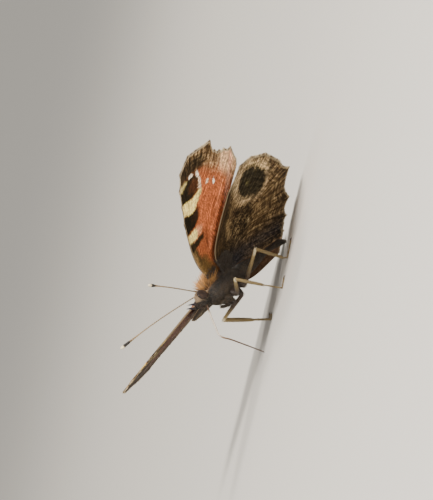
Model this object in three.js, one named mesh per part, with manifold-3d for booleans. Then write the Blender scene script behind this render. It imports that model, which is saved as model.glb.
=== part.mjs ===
// A peacock butterfly, Aglais io, at life size in millimetres, standing with its wings half raised.
// The body's own frame has X to the animal's left, Y towards its tail and Z up from its back, with the
// middle of the thorax at zero. A place on the body is written as [forward, side, up], where side is
// the distance out from the midline, and hand is 1 on the animal's left and -1 on its right.
import * as THREE from "three";
import { mergeVertices } from "three/addons/utils/BufferGeometryUtils.js";
import Module from "manifold-3d";

// How the animal stands
const HEAD_UP_ANGLE = 24;
const THORAX_HEIGHT = 9.4;
const GAP = 0.3;

// Thorax
const THORAX_RADII = new THREE.Vector3(2.3, 4.25, 2.35);
const THORAX_CENTRE = [0.05, 0, 0];

// Head, with its neck, eyes, palps, feelers and tongue
const HEAD_RADII = new THREE.Vector3(1.3, 1.2, 1.45);
const HEAD_CENTRE = [4.8, 0, 1.35];
const NECK_BACK = [3, 0, 0.5];
const NECK_RADIUS = 0.95;
const EYE_RADII = new THREE.Vector3(0.6, 0.95, 1.05);
const EYE_CENTRE = [4.95, 1.25, 1.3];
const PALP_JOINTS = [[5.5, 0.55, 0.5], [6.8, 0.55, 1], [7.75, 0.5, 1.85]];
const PALP_RADII = [0.3, 0.31, 0.25];
const FEELER_ROOT = [4.4, 0.5, 2.5];
const FEELER_LENGTH = 15.3;
const FEELER_RADIUS = 0.26;
const FEELER_CLUB_RADIUS = 0.48;
const FEELER_CLUB_LENGTH = 2.3;
const FEELER_AIM = { left: { spread: 33, raise: 15 }, right: { spread: 29, raise: 21.8 } };
const TONGUE_JOINTS = [[5.5, 0, -0.1], [10.4, 0, -5.5], [9.55, 0, -7.9], [8.4, 0, -13.2]];
const TONGUE_RADII = [0.28, 0.28, 0.27, 0.25];

// Abdomen: radius at each distance back from the middle of the thorax, and the droop of its end
const ABDOMEN_PROFILE = [
  [2.6, 0], [2.9, 1.2], [4.6, 1.5], [7, 1.65], [9.5, 1.6], [12, 1.4], [14.2, 1.1], [16, 0.78], [17, 0.5], [17.3, 0],
];
const ABDOMEN_CENTRE_UP = -0.3;
const DROOP_START = 12;
const DROOP_DEPTH = 2.15;
const DROOP_REACH = 5;

// Legs: hip, end of the hip joint, knee and ankle in the body's frame. The heel and the toe lie on the
// floor, so only their [forward, side] is given.
const LEG_RADII = { hip: 0.55, trochanter: 0.46, knee: 0.33, ankle: 0.29, toe: 0.25 };
const FOOT_CENTRE_HEIGHT = 0.2;
const LEGS = {
  midleg_l: { hand: 1, hip: [0.6, 0.6, -1.5], trochanter: [0.6, 1.1, -3.1], knee: [1.9, 5, -2.4],
    ankle: [0.4, 5.5, -6.8], heel: [-0.8, 5.9], toe: [-2.3, 6.6] },
  hindleg_l: { hand: 1, hip: [-2, 0.6, -1.5], trochanter: [-2, 1.1, -3], knee: [-5.2, 6.5, -1.9],
    ankle: [-6.4, 6.7, -6.6], heel: [-6.8, 6.8], toe: [-9.6, 7.9] },
  midleg_r: { hand: -1, hip: [0.6, 0.6, -1.5], trochanter: [0.6, 1.1, -3.1], knee: [1.6, 5, -2.3],
    ankle: [-2, 5, -6.1], heel: [-4.2, 5], toe: [-5.7, 5.4] },
  hindleg_r: { hand: -1, hip: [-2, 0.6, -1.5], trochanter: [-2, 1.1, -3], knee: [-0.65, 6.9, -1.5],
    ankle: [-4.6, 7.6, -4.8], heel: [-7.2, 8], toe: [-9, 8.8] },
};
const FORELEG_JOINTS = [[2.5, 0.5, -1.2], [1.75, 0.72, -2.65], [2.8, 0.62, -2.4], [3.6, 0.5, -1.9]];
const FORELEG_RADII = [0.36, 0.34, 0.28, 0.25];

// Wings. A wing is drawn as [outward, forward, up] from its hinge, with up left out where it lies flat, as
// one curve for each edge and vein, from the root to the margin, in order from the front edge to the back
// edge. rise is the share of the way out at which the vein starts to stand up from the membrane, and
// scallop is how far, in millimetres, the margin is drawn in between this curve and the next one. The
// hindwing's last curves hang down as a fold beside the abdomen.
const MEMBRANE_HALF = 0.25;
const VEIN_RISE = 0.15;
const VEIN_HALF_WIDTH = 0.35;
const WING_ROWS = 10;
const WIDE_CELL = 3;
const ROOT_DIP = 1.2;
const ROOT_DIP_FORWARD = -0.65;
const ROOT_DIP_REACH = { out: 2.4, back: 3.5 };
const FOREWING = {
  rootFront: [-1.3, 0.2],
  rootBack: [-1.3, -1.9],
  curves: [
    { name: "costa", via: [[6.4, 4.3]], end: [12.6, 6.4], rise: 9, scallop: 0 },
    { name: "Sc", via: [[8, 4.45]], end: [14.6, 7.05], rise: 0.12, scallop: 0 },
    { name: "R1", via: [[10.3, 4.7]], end: [18.5, 7.75], rise: 0.4, scallop: 0 },
    { name: "R2", via: [[11.4, 4.65]], end: [22, 8.4], rise: 0.5, scallop: -0.1 },
    { name: "R3", via: [[12.4, 4.4]], end: [25.3, 8.15], rise: 0.5, scallop: -0.3 },
    { name: "R5", via: [[13, 4]], end: [27.4, 5.5], rise: 0.14, scallop: -0.1 },
    { name: "M1", via: [[13.3, 3.2]], end: [27.3, -0.2], rise: 0.5, scallop: 0.8 },
    { name: "M2", via: [[13.1, 2.3]], end: [24.4, -1.7], rise: 0.5, scallop: 0.35 },
    { name: "M3", via: [[12.4, 1]], end: [22.8, -4], rise: 0.5, scallop: 0.3 },
    { name: "Cu1", via: [[11, 0]], end: [21.4, -6.5], rise: 0.42, scallop: 0.3 },
    { name: "Cu2", via: [[8.6, -0.9]], end: [20, -9.1], rise: 0.14, scallop: 0.15 },
    { name: "2A", via: [[7.3, -3.7]], end: [16.4, -10.95], rise: 0.14, scallop: 0 },
    { name: "inner edge", via: [[6.9, -5.3]], end: [14.6, -10.7], rise: 9, scallop: 0 },
  ],
};
const HINDWING = {
  rootFront: [-1.3, 0.5],
  rootBack: [-1.1, -1.6],
  curves: [
    { name: "front edge", via: [[3.4, 1.5], [8.1, 0]], end: [13.1, -2.9], rise: 9, scallop: 0 },
    { name: "Sc", via: [[3.6, 0.5], [8.4, -1.4]], end: [16.5, -6.8], rise: 0.15, scallop: -0.25 },
    { name: "Rs", via: [[3.4, -0.6], [8.3, -3.2]], end: [16.4, -10.1], rise: 0.15, scallop: 0 },
    { name: "M1", via: [[3.1, -1.5], [7.8, -5]], end: [14.6, -14.4], rise: 0.45, scallop: 0 },
    { name: "M2", via: [[2.6, -2.3], [7, -7]], end: [10.6, -18.6], rise: 0.45, scallop: 0.35 },
    { name: "M3", via: [[2, -2.9], [5.6, -8.2]], end: [7.7, -21.4], rise: 0.45, scallop: 0.9 },
    { name: "Cu1", via: [[1.3, -3.2], [3.9, -8.2]], end: [1.8, -21.1], rise: 0.3, scallop: 0.6 },
    { name: "Cu2", via: [[0.6, -3.3], [2.2, -7.9]], end: [-0.8, -19.4, -0.5], rise: 0.15, scallop: 0.2 },
    { name: "2A", via: [[0, -3.3], [0.7, -7.5, -0.15]], end: [-1.4, -17.8, -1], rise: 0.15, scallop: 0 },
    { name: "3A", via: [[-0.1, -3.2, -0.35], [0.2, -7.2, -0.7]], end: [-1.5, -16.7, -1.5], rise: 9, scallop: 0 },
    { name: "fold", via: [[-0.2, -3.1, -0.8], [-0.1, -7, -1.7]], end: [-1.3, -15.8, -2.1], rise: 9, scallop: 0 },
    { name: "inner edge", via: [[-0.3, -3, -1.2], [-0.2, -6.6, -2.7]], end: [-1.1, -14.5, -2.9], rise: 9, scallop: 0 },
  ],
};
// Where each wing is hinged and how it is held, in degrees: raise lifts it, twist lifts its front edge,
// washout adds to the twist out to the tip and sweep swings it back. curl is how far the tip bends up, and
// sag is how far the membrane hangs in the outer half.
const TIP_OUT = 28;
const SAG = { from: 12, to: 25, middle: -0.9, reach: 4.5 };
const WINGS = {
  forewing_l: { form: FOREWING, hinge: [1, 1.8, 2.95], hand: 1,
    raise: 14.7, twist: -1.8, washout: 0, sweep: 0, curl: 0, sag: 1.15 },
  forewing_r: { form: FOREWING, hinge: [0.75, 1.8, 2.5], hand: -1,
    raise: 16.4, twist: -5.2, washout: 8, sweep: 6.4, curl: -0.85, sag: 0 },
  hindwing_l: { form: HINDWING, hinge: [-1.65, 1.95, 1.95], hand: 1,
    raise: 15.2, twist: 3.5, washout: 0, sweep: 0, curl: 0, sag: 0 },
  hindwing_r: { form: HINDWING, hinge: [-1.65, 2.08, 1.5], hand: -1,
    raise: 17.2, twist: 3, washout: 0, sweep: 0, curl: 0, sag: 0 },
};

const MATERIALS = {
  fur: new THREE.MeshStandardMaterial({ color: 0x4b3c2d, roughness: 0.9, metalness: 0 }),
  upperWing: new THREE.MeshStandardMaterial({ color: 0xa8452a, roughness: 0.85, metalness: 0 }),
  eye: new THREE.MeshStandardMaterial({ color: 0x2a2320, roughness: 0.35, metalness: 0 }),
  leg: new THREE.MeshStandardMaterial({ color: 0x96805a, roughness: 0.7, metalness: 0 }),
  feeler: new THREE.MeshStandardMaterial({ color: 0x3a2d22, roughness: 0.6, metalness: 0 }),
};

const wasm = await Module();
wasm.setup();
const rad = THREE.MathUtils.degToRad;
const smooth = THREE.MathUtils.smoothstep;
const clamp = THREE.MathUtils.clamp;

// A place on the body as a vector of the body's frame.
function place([forward, side, up], hand = 1) {
  return new THREE.Vector3(side * hand, -forward, up);
}

// A closed three.js geometry as a solid that can be joined and cut.
function solid(geometry) {
  const shape = geometry.clone();
  for (const name of Object.keys(shape.attributes)) {
    if (name !== "position") shape.deleteAttribute(name);
  }
  const merged = mergeVertices(shape, 1e-4);
  return new wasm.Manifold(
    new wasm.Mesh({
      numProp: 3,
      vertProperties: merged.attributes.position.array,
      triVerts: new Uint32Array(merged.index.array),
    }),
  );
}

// The largest closed surface of a solid, as a named mesh.
function meshOf(name, body, material) {
  const largest = body.decompose().sort((a, b) => b.volume() - a.volume())[0];
  const { vertProperties, triVerts } = largest.getMesh();
  const geometry = new THREE.BufferGeometry();
  geometry.setAttribute("position", new THREE.BufferAttribute(new Float32Array(vertProperties), 3));
  geometry.setIndex(new THREE.BufferAttribute(new Uint32Array(triVerts), 1));
  geometry.computeVertexNormals();
  const mesh = new THREE.Mesh(geometry, material);
  mesh.name = name;
  return mesh;
}

// An egg-shaped solid, made larger all round by grow.
function egg(radii, centre, grow = 0, sides = 16, rows = 10) {
  const shape = new THREE.SphereGeometry(1, sides, rows);
  shape.rotateX(Math.PI / 2);
  shape.scale(radii.x + grow, radii.y + grow, radii.z + grow);
  shape.translate(centre.x, centre.y, centre.z);
  return solid(shape);
}

// A tapered round rod between two points.
function rod(from, to, radiusFrom, radiusTo, sides) {
  const along = new THREE.Vector3().subVectors(to, from);
  const shape = new THREE.CylinderGeometry(radiusTo, radiusFrom, along.length(), sides, 1);
  shape.translate(0, along.length() / 2, 0);
  const turn = new THREE.Quaternion().setFromUnitVectors(new THREE.Vector3(0, 1, 0), along.clone().normalize());
  shape.applyQuaternion(turn);
  shape.translate(from.x, from.y, from.z);
  return solid(shape);
}

// A jointed limb: a tapered rod for each length, with a slightly thicker ball at every joint and end.
const KNUCKLE = 1.1;
function limb(joints, radii, sides = 6) {
  let whole = null;
  joints.forEach((joint, i) => {
    const radius = radii[i];
    const ball = egg(new THREE.Vector3(1, 1, 1).multiplyScalar(radius * KNUCKLE), joint, 0, sides, 4);
    whole = whole ? whole.add(ball) : ball;
    if (i > 0) whole = whole.add(rod(joints[i - 1], joint, radii[i - 1], radius, sides));
  });
  return whole;
}

// The frame that stands the body on the floor, and a block that fills everything under the floor.
const stance = new THREE.Group();
stance.rotation.x = -rad(HEAD_UP_ANGLE);
stance.position.z = THORAX_HEIGHT;
stance.updateMatrixWorld(true);
const FLOOR_BLOCK_SIZE = 200;
const underFloor = new THREE.BoxGeometry(FLOOR_BLOCK_SIZE, FLOOR_BLOCK_SIZE, FLOOR_BLOCK_SIZE);
underFloor.translate(0, 0, -FLOOR_BLOCK_SIZE / 2);
underFloor.applyMatrix4(stance.matrixWorld.clone().invert());
const belowFloor = solid(underFloor);

// The place at [forward, side] whose height over the floor is the one given.
function overFloor([forward, side], hand, height) {
  const lift = Math.sin(rad(HEAD_UP_ANGLE)) * forward;
  return place([forward, side, (height - THORAX_HEIGHT - lift) / Math.cos(rad(HEAD_UP_ANGLE))], hand);
}

// Thorax
function thoraxSolid(grow = 0) {
  return egg(THORAX_RADII, place(THORAX_CENTRE), grow, 20, 12);
}
const thoraxRoom = thoraxSolid(GAP);

// Abdomen: turned from its profile, then bent down towards the floor
function abdomenSolid(grow = 0) {
  const profile = ABDOMEN_PROFILE.map(([back, radius], i) => {
    const end = i === 0 ? -grow : i === ABDOMEN_PROFILE.length - 1 ? grow : 0;
    return new THREE.Vector2(radius === 0 ? 0 : radius + grow, back + end);
  });
  const shape = new THREE.LatheGeometry(profile, 18);
  const points = shape.attributes.position;
  for (let i = 0; i < points.count; i++) {
    const past = Math.max(0, points.getY(i) - DROOP_START) / DROOP_REACH;
    points.setZ(i, points.getZ(i) + ABDOMEN_CENTRE_UP - DROOP_DEPTH * past * past);
  }
  return solid(shape);
}

// One wing: the drawn curves with lower flanks beside each vein and one line half way between veins,
// the same net of triangles on both faces, and a rim that closes them.
function wingSolid({ form, hinge, hand, raise, twist, washout, sweep, curl, sag }) {
  const { curves, rootFront, rootBack } = form;
  const flat = ([out, forward, up = 0]) => new THREE.Vector3(out, forward, up);
  const paths = curves.map(({ via, end }, i) => {
    const root = flat(rootFront).lerp(flat(rootBack), i / (curves.length - 1));
    return new THREE.CatmullRomCurve3([root, ...via.map(flat), flat(end)], false, "centripetal");
  });
  const rows = Array.from({ length: WING_ROWS + 1 }, (_, j) => 1 - (1 - j / WING_ROWS) ** 1.25);

  // Each column is a list of places along it, each with the height of the vein there.
  const columns = [];
  const veinHeight = (curve, t) => VEIN_RISE * smooth(t, curve.rise, curve.rise + 0.2);
  paths.forEach((path, i) => {
    columns.push(rows.map((t) => ({ at: path.getPoint(t), height: veinHeight(curves[i], t) })));
    if (i === paths.length - 1) return;
    const next = paths[i + 1];
    const cell = curves[i + 1].end.map((value, k) => value - curves[i].end[k]);
    for (const step of Math.hypot(...cell) > WIDE_CELL ? ["near", "half", "far"] : ["near", "far"]) {
      columns.push(rows.map((t) => {
        const here = path.getPoint(t);
        const there = next.getPoint(t);
        const wide = here.distanceTo(there);
        const side = Math.min(VEIN_HALF_WIDTH / wide, 0.3);
        const share = { near: side, half: 0.5, far: 1 - side }[step];
        const drawnIn = (curves[i].scallop * Math.sin(Math.PI * share) * t ** 6) / next.getLength();
        const at = path.getPoint(t * (1 - drawnIn)).lerp(next.getPoint(t * (1 - drawnIn)), share);
        if (drawnIn < 0) at.addScaledVector(path.getTangent(1).lerp(next.getTangent(1), share), -drawnIn * next.getLength());
        return { at, height: 0 };
      }));
    }
  });

  // The drawn wing is given its sag and the dip at its root, and a thickness square to its surface. Then it
  // is turned on its hinge.
  const turn = new THREE.Matrix4().makeRotationFromEuler(
    new THREE.Euler(-rad(twist), -rad(raise), 0, "YXZ"),
  );
  const swing = new THREE.Matrix4().makeRotationZ(rad(sweep));
  const root = place(hinge);
  const across = columns.length;
  const along = rows.length;
  const middles = columns.map((column) => column.map(({ at }) => {
    const fall = sag * smooth(at.x, SAG.from, SAG.to) * Math.exp(-(((at.y - SAG.middle) / SAG.reach) ** 2));
    const forward = at.y + hinge[0] - ROOT_DIP_FORWARD;
    const nearRoot = (at.x / ROOT_DIP_REACH.out) ** 2 + (forward / ROOT_DIP_REACH.back) ** 2;
    const dip = ROOT_DIP * Math.exp(-nearRoot);
    const out = at.x / TIP_OUT;
    const lift = curl * out * out + at.y * Math.tan(rad(washout * out)) - fall - dip;
    return new THREE.Vector3(at.x, -at.y, at.z + lift);
  }));
  const near = (i, j) => middles[clamp(i, 0, across - 1)][clamp(j, 0, along - 1)];
  const corners = [];
  for (const face of [1, -1]) {
    columns.forEach((column, i) => column.forEach(({ height }, j) => {
      const outward = near(i, j + 1).clone().sub(near(i, j - 1));
      const backward = near(i + 1, j).clone().sub(near(i - 1, j));
      const corner = near(i, j).clone();
      corner.addScaledVector(outward.cross(backward).normalize(), face * (MEMBRANE_HALF + height));
      corner.applyMatrix4(swing).applyMatrix4(turn).add(root);
      corners.push(corner.x * hand, corner.y, corner.z);
    }));
  }
  const number = (face, i, j) => face * across * along + i * along + j;
  const faces = [];
  const quad = (a, b, c, d) => faces.push(a, b, c, a, c, d);
  for (let i = 0; i < across - 1; i++) {
    for (let j = 0; j < along - 1; j++) {
      const [a, b, c, d] = [[i, j], [i + 1, j], [i + 1, j + 1], [i, j + 1]];
      quad(number(0, ...a), number(0, ...b), number(0, ...c), number(0, ...d));
      faces.push(number(1, ...a), number(1, ...c), number(1, ...b), number(1, ...a), number(1, ...d), number(1, ...c));
    }
  }
  const rim = (p, q) => quad(number(0, ...q), number(1, ...q), number(1, ...p), number(0, ...p));
  for (let j = 0; j < along - 1; j++) {
    rim([0, j], [0, j + 1]);
    rim([across - 1, j + 1], [across - 1, j]);
  }
  for (let i = 0; i < across - 1; i++) {
    rim([i + 1, 0], [i, 0]);
    rim([i, along - 1], [i + 1, along - 1]);
  }
  const shape = new THREE.BufferGeometry();
  shape.setAttribute("position", new THREE.Float32BufferAttribute(corners, 3));
  shape.setIndex(hand > 0 ? faces.toReversed() : faces);
  return solid(shape);
}

// A feeler: a thin turned shaft that swells to a club, aimed from the head.
function feelerSolid({ spread, raise }, hand) {
  const neck = FEELER_LENGTH - FEELER_CLUB_LENGTH;
  const profile = [
    [0, 0], [FEELER_RADIUS, 0], [FEELER_RADIUS, neck], [FEELER_CLUB_RADIUS * 0.85, neck + 0.7],
    [FEELER_CLUB_RADIUS, FEELER_LENGTH - 0.8], [FEELER_CLUB_RADIUS * 0.6, FEELER_LENGTH - 0.2], [0, FEELER_LENGTH],
  ].map(([radius, reach]) => new THREE.Vector2(radius, reach));
  const shape = new THREE.LatheGeometry(profile, 10);
  const aim = new THREE.Vector3(
    hand * Math.cos(rad(raise)) * Math.sin(rad(spread)),
    -Math.cos(rad(raise)) * Math.cos(rad(spread)),
    Math.sin(rad(raise)),
  );
  shape.applyQuaternion(new THREE.Quaternion().setFromUnitVectors(new THREE.Vector3(0, 1, 0), aim));
  const root = place(FEELER_ROOT, hand);
  shape.translate(root.x, root.y, root.z);
  return solid(shape);
}

const butterfly = new THREE.Group();
butterfly.name = "peacock_butterfly";
butterfly.add(stance);

stance.add(meshOf("thorax", thoraxSolid(), MATERIALS.fur));
stance.add(meshOf("abdomen", abdomenSolid().subtract(thoraxRoom).subtract(belowFloor), MATERIALS.fur));

const headShape = (grow = 0) => egg(HEAD_RADII, place(HEAD_CENTRE), grow).add(
  rod(place(NECK_BACK), place(HEAD_CENTRE), NECK_RADIUS + grow, NECK_RADIUS + grow, 16),
);
const headRoom = headShape(GAP);
const eyeRooms = [1, -1].map((hand) => egg(EYE_RADII, place(EYE_CENTRE, hand), GAP));
const faceRoom = headRoom.add(eyeRooms[0]).add(eyeRooms[1]);
stance.add(meshOf(
  "head",
  headShape().subtract(thoraxRoom).subtract(eyeRooms[0]).subtract(eyeRooms[1]),
  MATERIALS.fur,
));
stance.add(meshOf(
  "proboscis",
  limb(TONGUE_JOINTS.map((joint) => place(joint)), TONGUE_RADII).subtract(headRoom),
  MATERIALS.feeler,
));

for (const [side, hand] of [["left", 1], ["right", -1]]) {
  const suffix = side[0];
  const jointed = (joints) => joints.map((joint) => place(joint, hand));
  stance.add(meshOf("eye_" + suffix, egg(EYE_RADII, place(EYE_CENTRE, hand), 0, 14, 8), MATERIALS.eye));
  stance.add(meshOf("palp_" + suffix, limb(jointed(PALP_JOINTS), PALP_RADII).subtract(headRoom), MATERIALS.fur));
  stance.add(meshOf("antenna_" + suffix, feelerSolid(FEELER_AIM[side], hand).subtract(faceRoom), MATERIALS.feeler));
  stance.add(meshOf(
    "foreleg_" + suffix,
    limb(jointed(FORELEG_JOINTS), FORELEG_RADII).subtract(thoraxRoom),
    MATERIALS.leg,
  ));
}

for (const [name, { hand, hip, trochanter, knee, ankle, heel, toe }] of Object.entries(LEGS)) {
  const joints = [
    ...[hip, trochanter, knee, ankle].map((joint) => place(joint, hand)),
    ...[heel, toe].map((joint) => overFloor(joint, hand, FOOT_CENTRE_HEIGHT)),
  ];
  const radii = ["hip", "trochanter", "knee", "ankle", "toe", "toe"].map((key) => LEG_RADII[key]);
  stance.add(meshOf(name, limb(joints, radii).subtract(thoraxRoom).subtract(belowFloor), MATERIALS.leg));
}

for (const [name, wing] of Object.entries(WINGS)) {
  stance.add(meshOf(name, wingSolid(wing).subtract(thoraxRoom), MATERIALS.upperWing));
}

// The origin is on the floor, under the middle of the whole animal.
const box = new THREE.Box3().setFromObject(butterfly, true);
stance.position.x -= (box.min.x + box.max.x) / 2;
stance.position.y -= (box.min.y + box.max.y) / 2;

export default butterfly;
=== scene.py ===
# A peacock butterfly, Aglais io, at life size, standing with its wings half raised.
# Lengths are in metres unless a name says otherwise. The body's own frame is in millimetres: a place on
# it is (forward, side, up) from the middle of the thorax, and hand is 1 on the animal's left, -1 on
# its right. Sizes of pieces and of what is drawn on them are in that frame.
import math

import bpy
import numpy as np
from mathutils import Matrix, Vector


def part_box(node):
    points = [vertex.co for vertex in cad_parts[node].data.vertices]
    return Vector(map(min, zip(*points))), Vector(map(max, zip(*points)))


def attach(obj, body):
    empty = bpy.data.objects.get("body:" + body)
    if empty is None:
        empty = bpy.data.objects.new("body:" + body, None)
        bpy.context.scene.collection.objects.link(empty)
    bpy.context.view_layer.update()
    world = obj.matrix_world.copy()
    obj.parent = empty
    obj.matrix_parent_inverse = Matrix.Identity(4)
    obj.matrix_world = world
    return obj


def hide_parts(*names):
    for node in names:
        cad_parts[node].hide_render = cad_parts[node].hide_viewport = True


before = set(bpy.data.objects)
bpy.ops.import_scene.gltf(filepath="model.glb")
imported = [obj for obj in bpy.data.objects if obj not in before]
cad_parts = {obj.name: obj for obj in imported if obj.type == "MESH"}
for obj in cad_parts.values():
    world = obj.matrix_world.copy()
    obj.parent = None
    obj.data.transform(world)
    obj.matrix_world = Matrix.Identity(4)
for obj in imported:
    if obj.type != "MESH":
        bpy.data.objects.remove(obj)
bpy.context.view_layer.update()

# Floor, light and camera
# The animal stands on a plain pale floor under soft studio lights. The photograph shows it turned by about
# a quarter turn, so the camera is rolled to look at the standing animal in the same way.
MM = 0.001
HEAD_UP_ANGLE = math.radians(24)
THORAX_FORWARD = 0.05
body_turn = Matrix.Rotation(-HEAD_UP_ANGLE, 3, "X")
thorax_low, thorax_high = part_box("thorax")
body_origin = (thorax_low + thorax_high) / 2 - body_turn @ Vector((0, -THORAX_FORWARD, 0)) * MM


def put_in(name, data):
    """An object made of this data, in the scene."""
    made = bpy.data.objects.new(name, data)
    bpy.context.scene.collection.objects.link(made)
    return made


def colour(red, green, blue):
    """A colour given as on a screen, 0 to 255, in Blender's linear values."""
    linear = [c / 3294.6 if c <= 10 else ((c / 255 + 0.055) / 1.055) ** 2.4 for c in (red, green, blue)]
    return (*linear, 1.0)


FLOOR_SIZE = 14.0
FLOOR_COLOUR = (222, 219, 212)
floor_paper = bpy.data.materials.new("floor_paper")
floor_paper.use_nodes = True
floor_sockets = floor_paper.node_tree.nodes["Principled BSDF"].inputs
for label, value in (("Base Color", colour(*FLOOR_COLOUR)), ("Roughness", 0.9), ("Specular IOR Level", 0.1)):
    floor_sockets[label].default_value = value
floor_mesh = bpy.data.meshes.new("floor")
half = FLOOR_SIZE / 2
floor_mesh.from_pydata([(-half, -half, 0), (half, -half, 0), (half, half, 0), (-half, half, 0)], [],
                       [(0, 1, 2, 3)])
floor_mesh.materials.append(floor_paper)
floor = put_in("floor", floor_mesh)

WORLD_TINT = (1.0, 0.97, 0.925, 1.0)
WORLD_STRENGTH = 0.58
world = bpy.data.worlds.new("studio")
world.use_nodes = True
world.node_tree.nodes["Background"].inputs["Color"].default_value = WORLD_TINT
world.node_tree.nodes["Background"].inputs["Strength"].default_value = WORLD_STRENGTH
bpy.context.scene.world = world

TO_CAMERA = Vector((0.672, -0.7386, 0.0546)).normalized()
CAMERA_UP = Vector((0.7128, 0.6650, 0.2229)).normalized()
CAMERA_RIGHT = CAMERA_UP.cross(TO_CAMERA).normalized()
CAMERA_DISTANCE = 1.2
VIEW_WIDTH = 0.07183
AIM_RIGHT = -0.974 * MM
AIM_UP = 6.238 * MM
SENSOR_WIDTH_MM = 36
camera_data = bpy.data.cameras.new("camera")
camera_data.sensor_fit = "HORIZONTAL"
camera_data.sensor_width = SENSOR_WIDTH_MM
camera_data.lens = SENSOR_WIDTH_MM * CAMERA_DISTANCE / VIEW_WIDTH
camera = put_in("camera", camera_data)
aim = body_origin + CAMERA_RIGHT * AIM_RIGHT + CAMERA_UP * AIM_UP
camera_turn = Matrix((CAMERA_RIGHT, CAMERA_UP, TO_CAMERA)).transposed()
camera.matrix_world = Matrix.Translation(aim + TO_CAMERA * CAMERA_DISTANCE) @ camera_turn.to_4x4()
bpy.context.scene.camera = camera

# name: direction from the body, how far away, width, watts, tint
SOFT_LIGHTS = {
    "key_light": ((0.64, -0.18, 0.73), 0.8, 0.3, 8.0, (1.0, 0.94, 0.86)),
    "front_light": ((0.56, -0.82, 0.14), 0.8, 0.2, 2.8, (1.0, 0.96, 0.9)),
    "back_light": ((-0.03, 0.70, 0.69), 0.9, 0.3, 4.0, (1.0, 0.93, 0.82)),
}
for name, (direction, distance, width, watts, tint) in SOFT_LIGHTS.items():
    lamp = bpy.data.lights.new(name, "AREA")
    lamp.shape = "DISK"
    lamp.size, lamp.energy, lamp.color = width, watts, tint
    light = put_in(name, lamp)
    light.location = body_origin + Vector(direction).normalized() * distance
    light.rotation_mode = "QUATERNION"
    light.rotation_quaternion = Vector(direction).to_track_quat("Z", "Y")

# Body
# Head, thorax and abdomen are horny rings joined by soft skin, which shows nowhere: short hair grows over
# all of it. Here they are one closed skin, drawn in from the outside by the depth of the hair.
BODY_SIDES = 44
BODY_RINGS = 150
BODY_RINGS_AT = [
    # forward, half width, half height, middle's height
    (5.88, 0, 0, 1.34), (5.78, 0.38, 0.42, 1.34), (5.55, 0.68, 0.78, 1.34), (5.2, 0.92, 1.1, 1.34),
    (4.8, 1.02, 1.26, 1.33), (4.4, 0.98, 1.2, 1.22), (4.1, 0.93, 1.08, 1.02), (3.8, 1.0, 1.1, 0.74),
    (3.4, 1.22, 1.28, 0.42), (2.7, 1.6, 1.66, 0.14), (1.4, 1.92, 1.98, 0.03), (0, 2.04, 2.08, 0),
    (-1.5, 1.9, 1.96, -0.02), (-2.7, 1.55, 1.62, -0.1), (-3.5, 1.16, 1.3, -0.2), (-4.1, 1.02, 1.12, -0.28),
    (-4.8, 1.28, 1.3, -0.3), (-7, 1.48, 1.48, -0.3), (-9.5, 1.44, 1.44, -0.3), (-12, 1.24, 1.24, -0.32),
    (-14.2, 0.96, 0.96, -0.74), (-15.6, 0.7, 0.72, -1.42), (-16.6, 0.42, 0.42, -2.06), (-17, 0.2, 0.2, -2.36),
    (-17.1, 0, 0, -2.44),
]
ABDOMEN_FROM = -4.9
ABDOMEN_RING_LENGTH = 1.72
FIRST_GROOVE = -4.4
ABDOMEN_GROOVE = 0.045
GROOVE_SHARE = 0.13


def on_body(places):
    """Body-frame vectors (left, back, up) in millimetres as world places in metres."""
    return np.asarray(places) @ np.array(body_turn).T * MM + np.array(body_origin)


def place(forward, side, up, hand=1):
    return np.array((side * hand, -forward, up), float)


def through(points, shares):
    """Places at shares (0 to 1) along a smooth curve through points, spaced by their square root."""
    points = np.asarray(points, float)
    count = len(points) - 1
    found = []
    for share in np.atleast_1d(shares):
        at = min(share * count, count - 1e-9)
        i = int(at)
        w = at - i
        p1, p2 = points[i], points[i + 1]
        p0 = points[i - 1] if i > 0 else 2 * p1 - p2
        p3 = points[i + 2] if i + 2 <= count else 2 * p2 - p1
        d0, d1, d2 = (max(np.linalg.norm(b - a), 1e-8) ** 0.5 for a, b in ((p0, p1), (p1, p2), (p2, p3)))
        t1 = ((p1 - p0) / d0 - (p2 - p0) / (d0 + d1) + (p2 - p1) / d1) * d1
        t2 = ((p2 - p1) / d1 - (p3 - p1) / (d1 + d2) + (p3 - p2) / d2) * d1
        a, b = 2 * p1 - 2 * p2 + t1 + t2, -3 * p1 + 3 * p2 - 2 * t1 - t2
        found.append(((a * w + b) * w + t1) * w + p1)
    return np.array(found)


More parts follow.
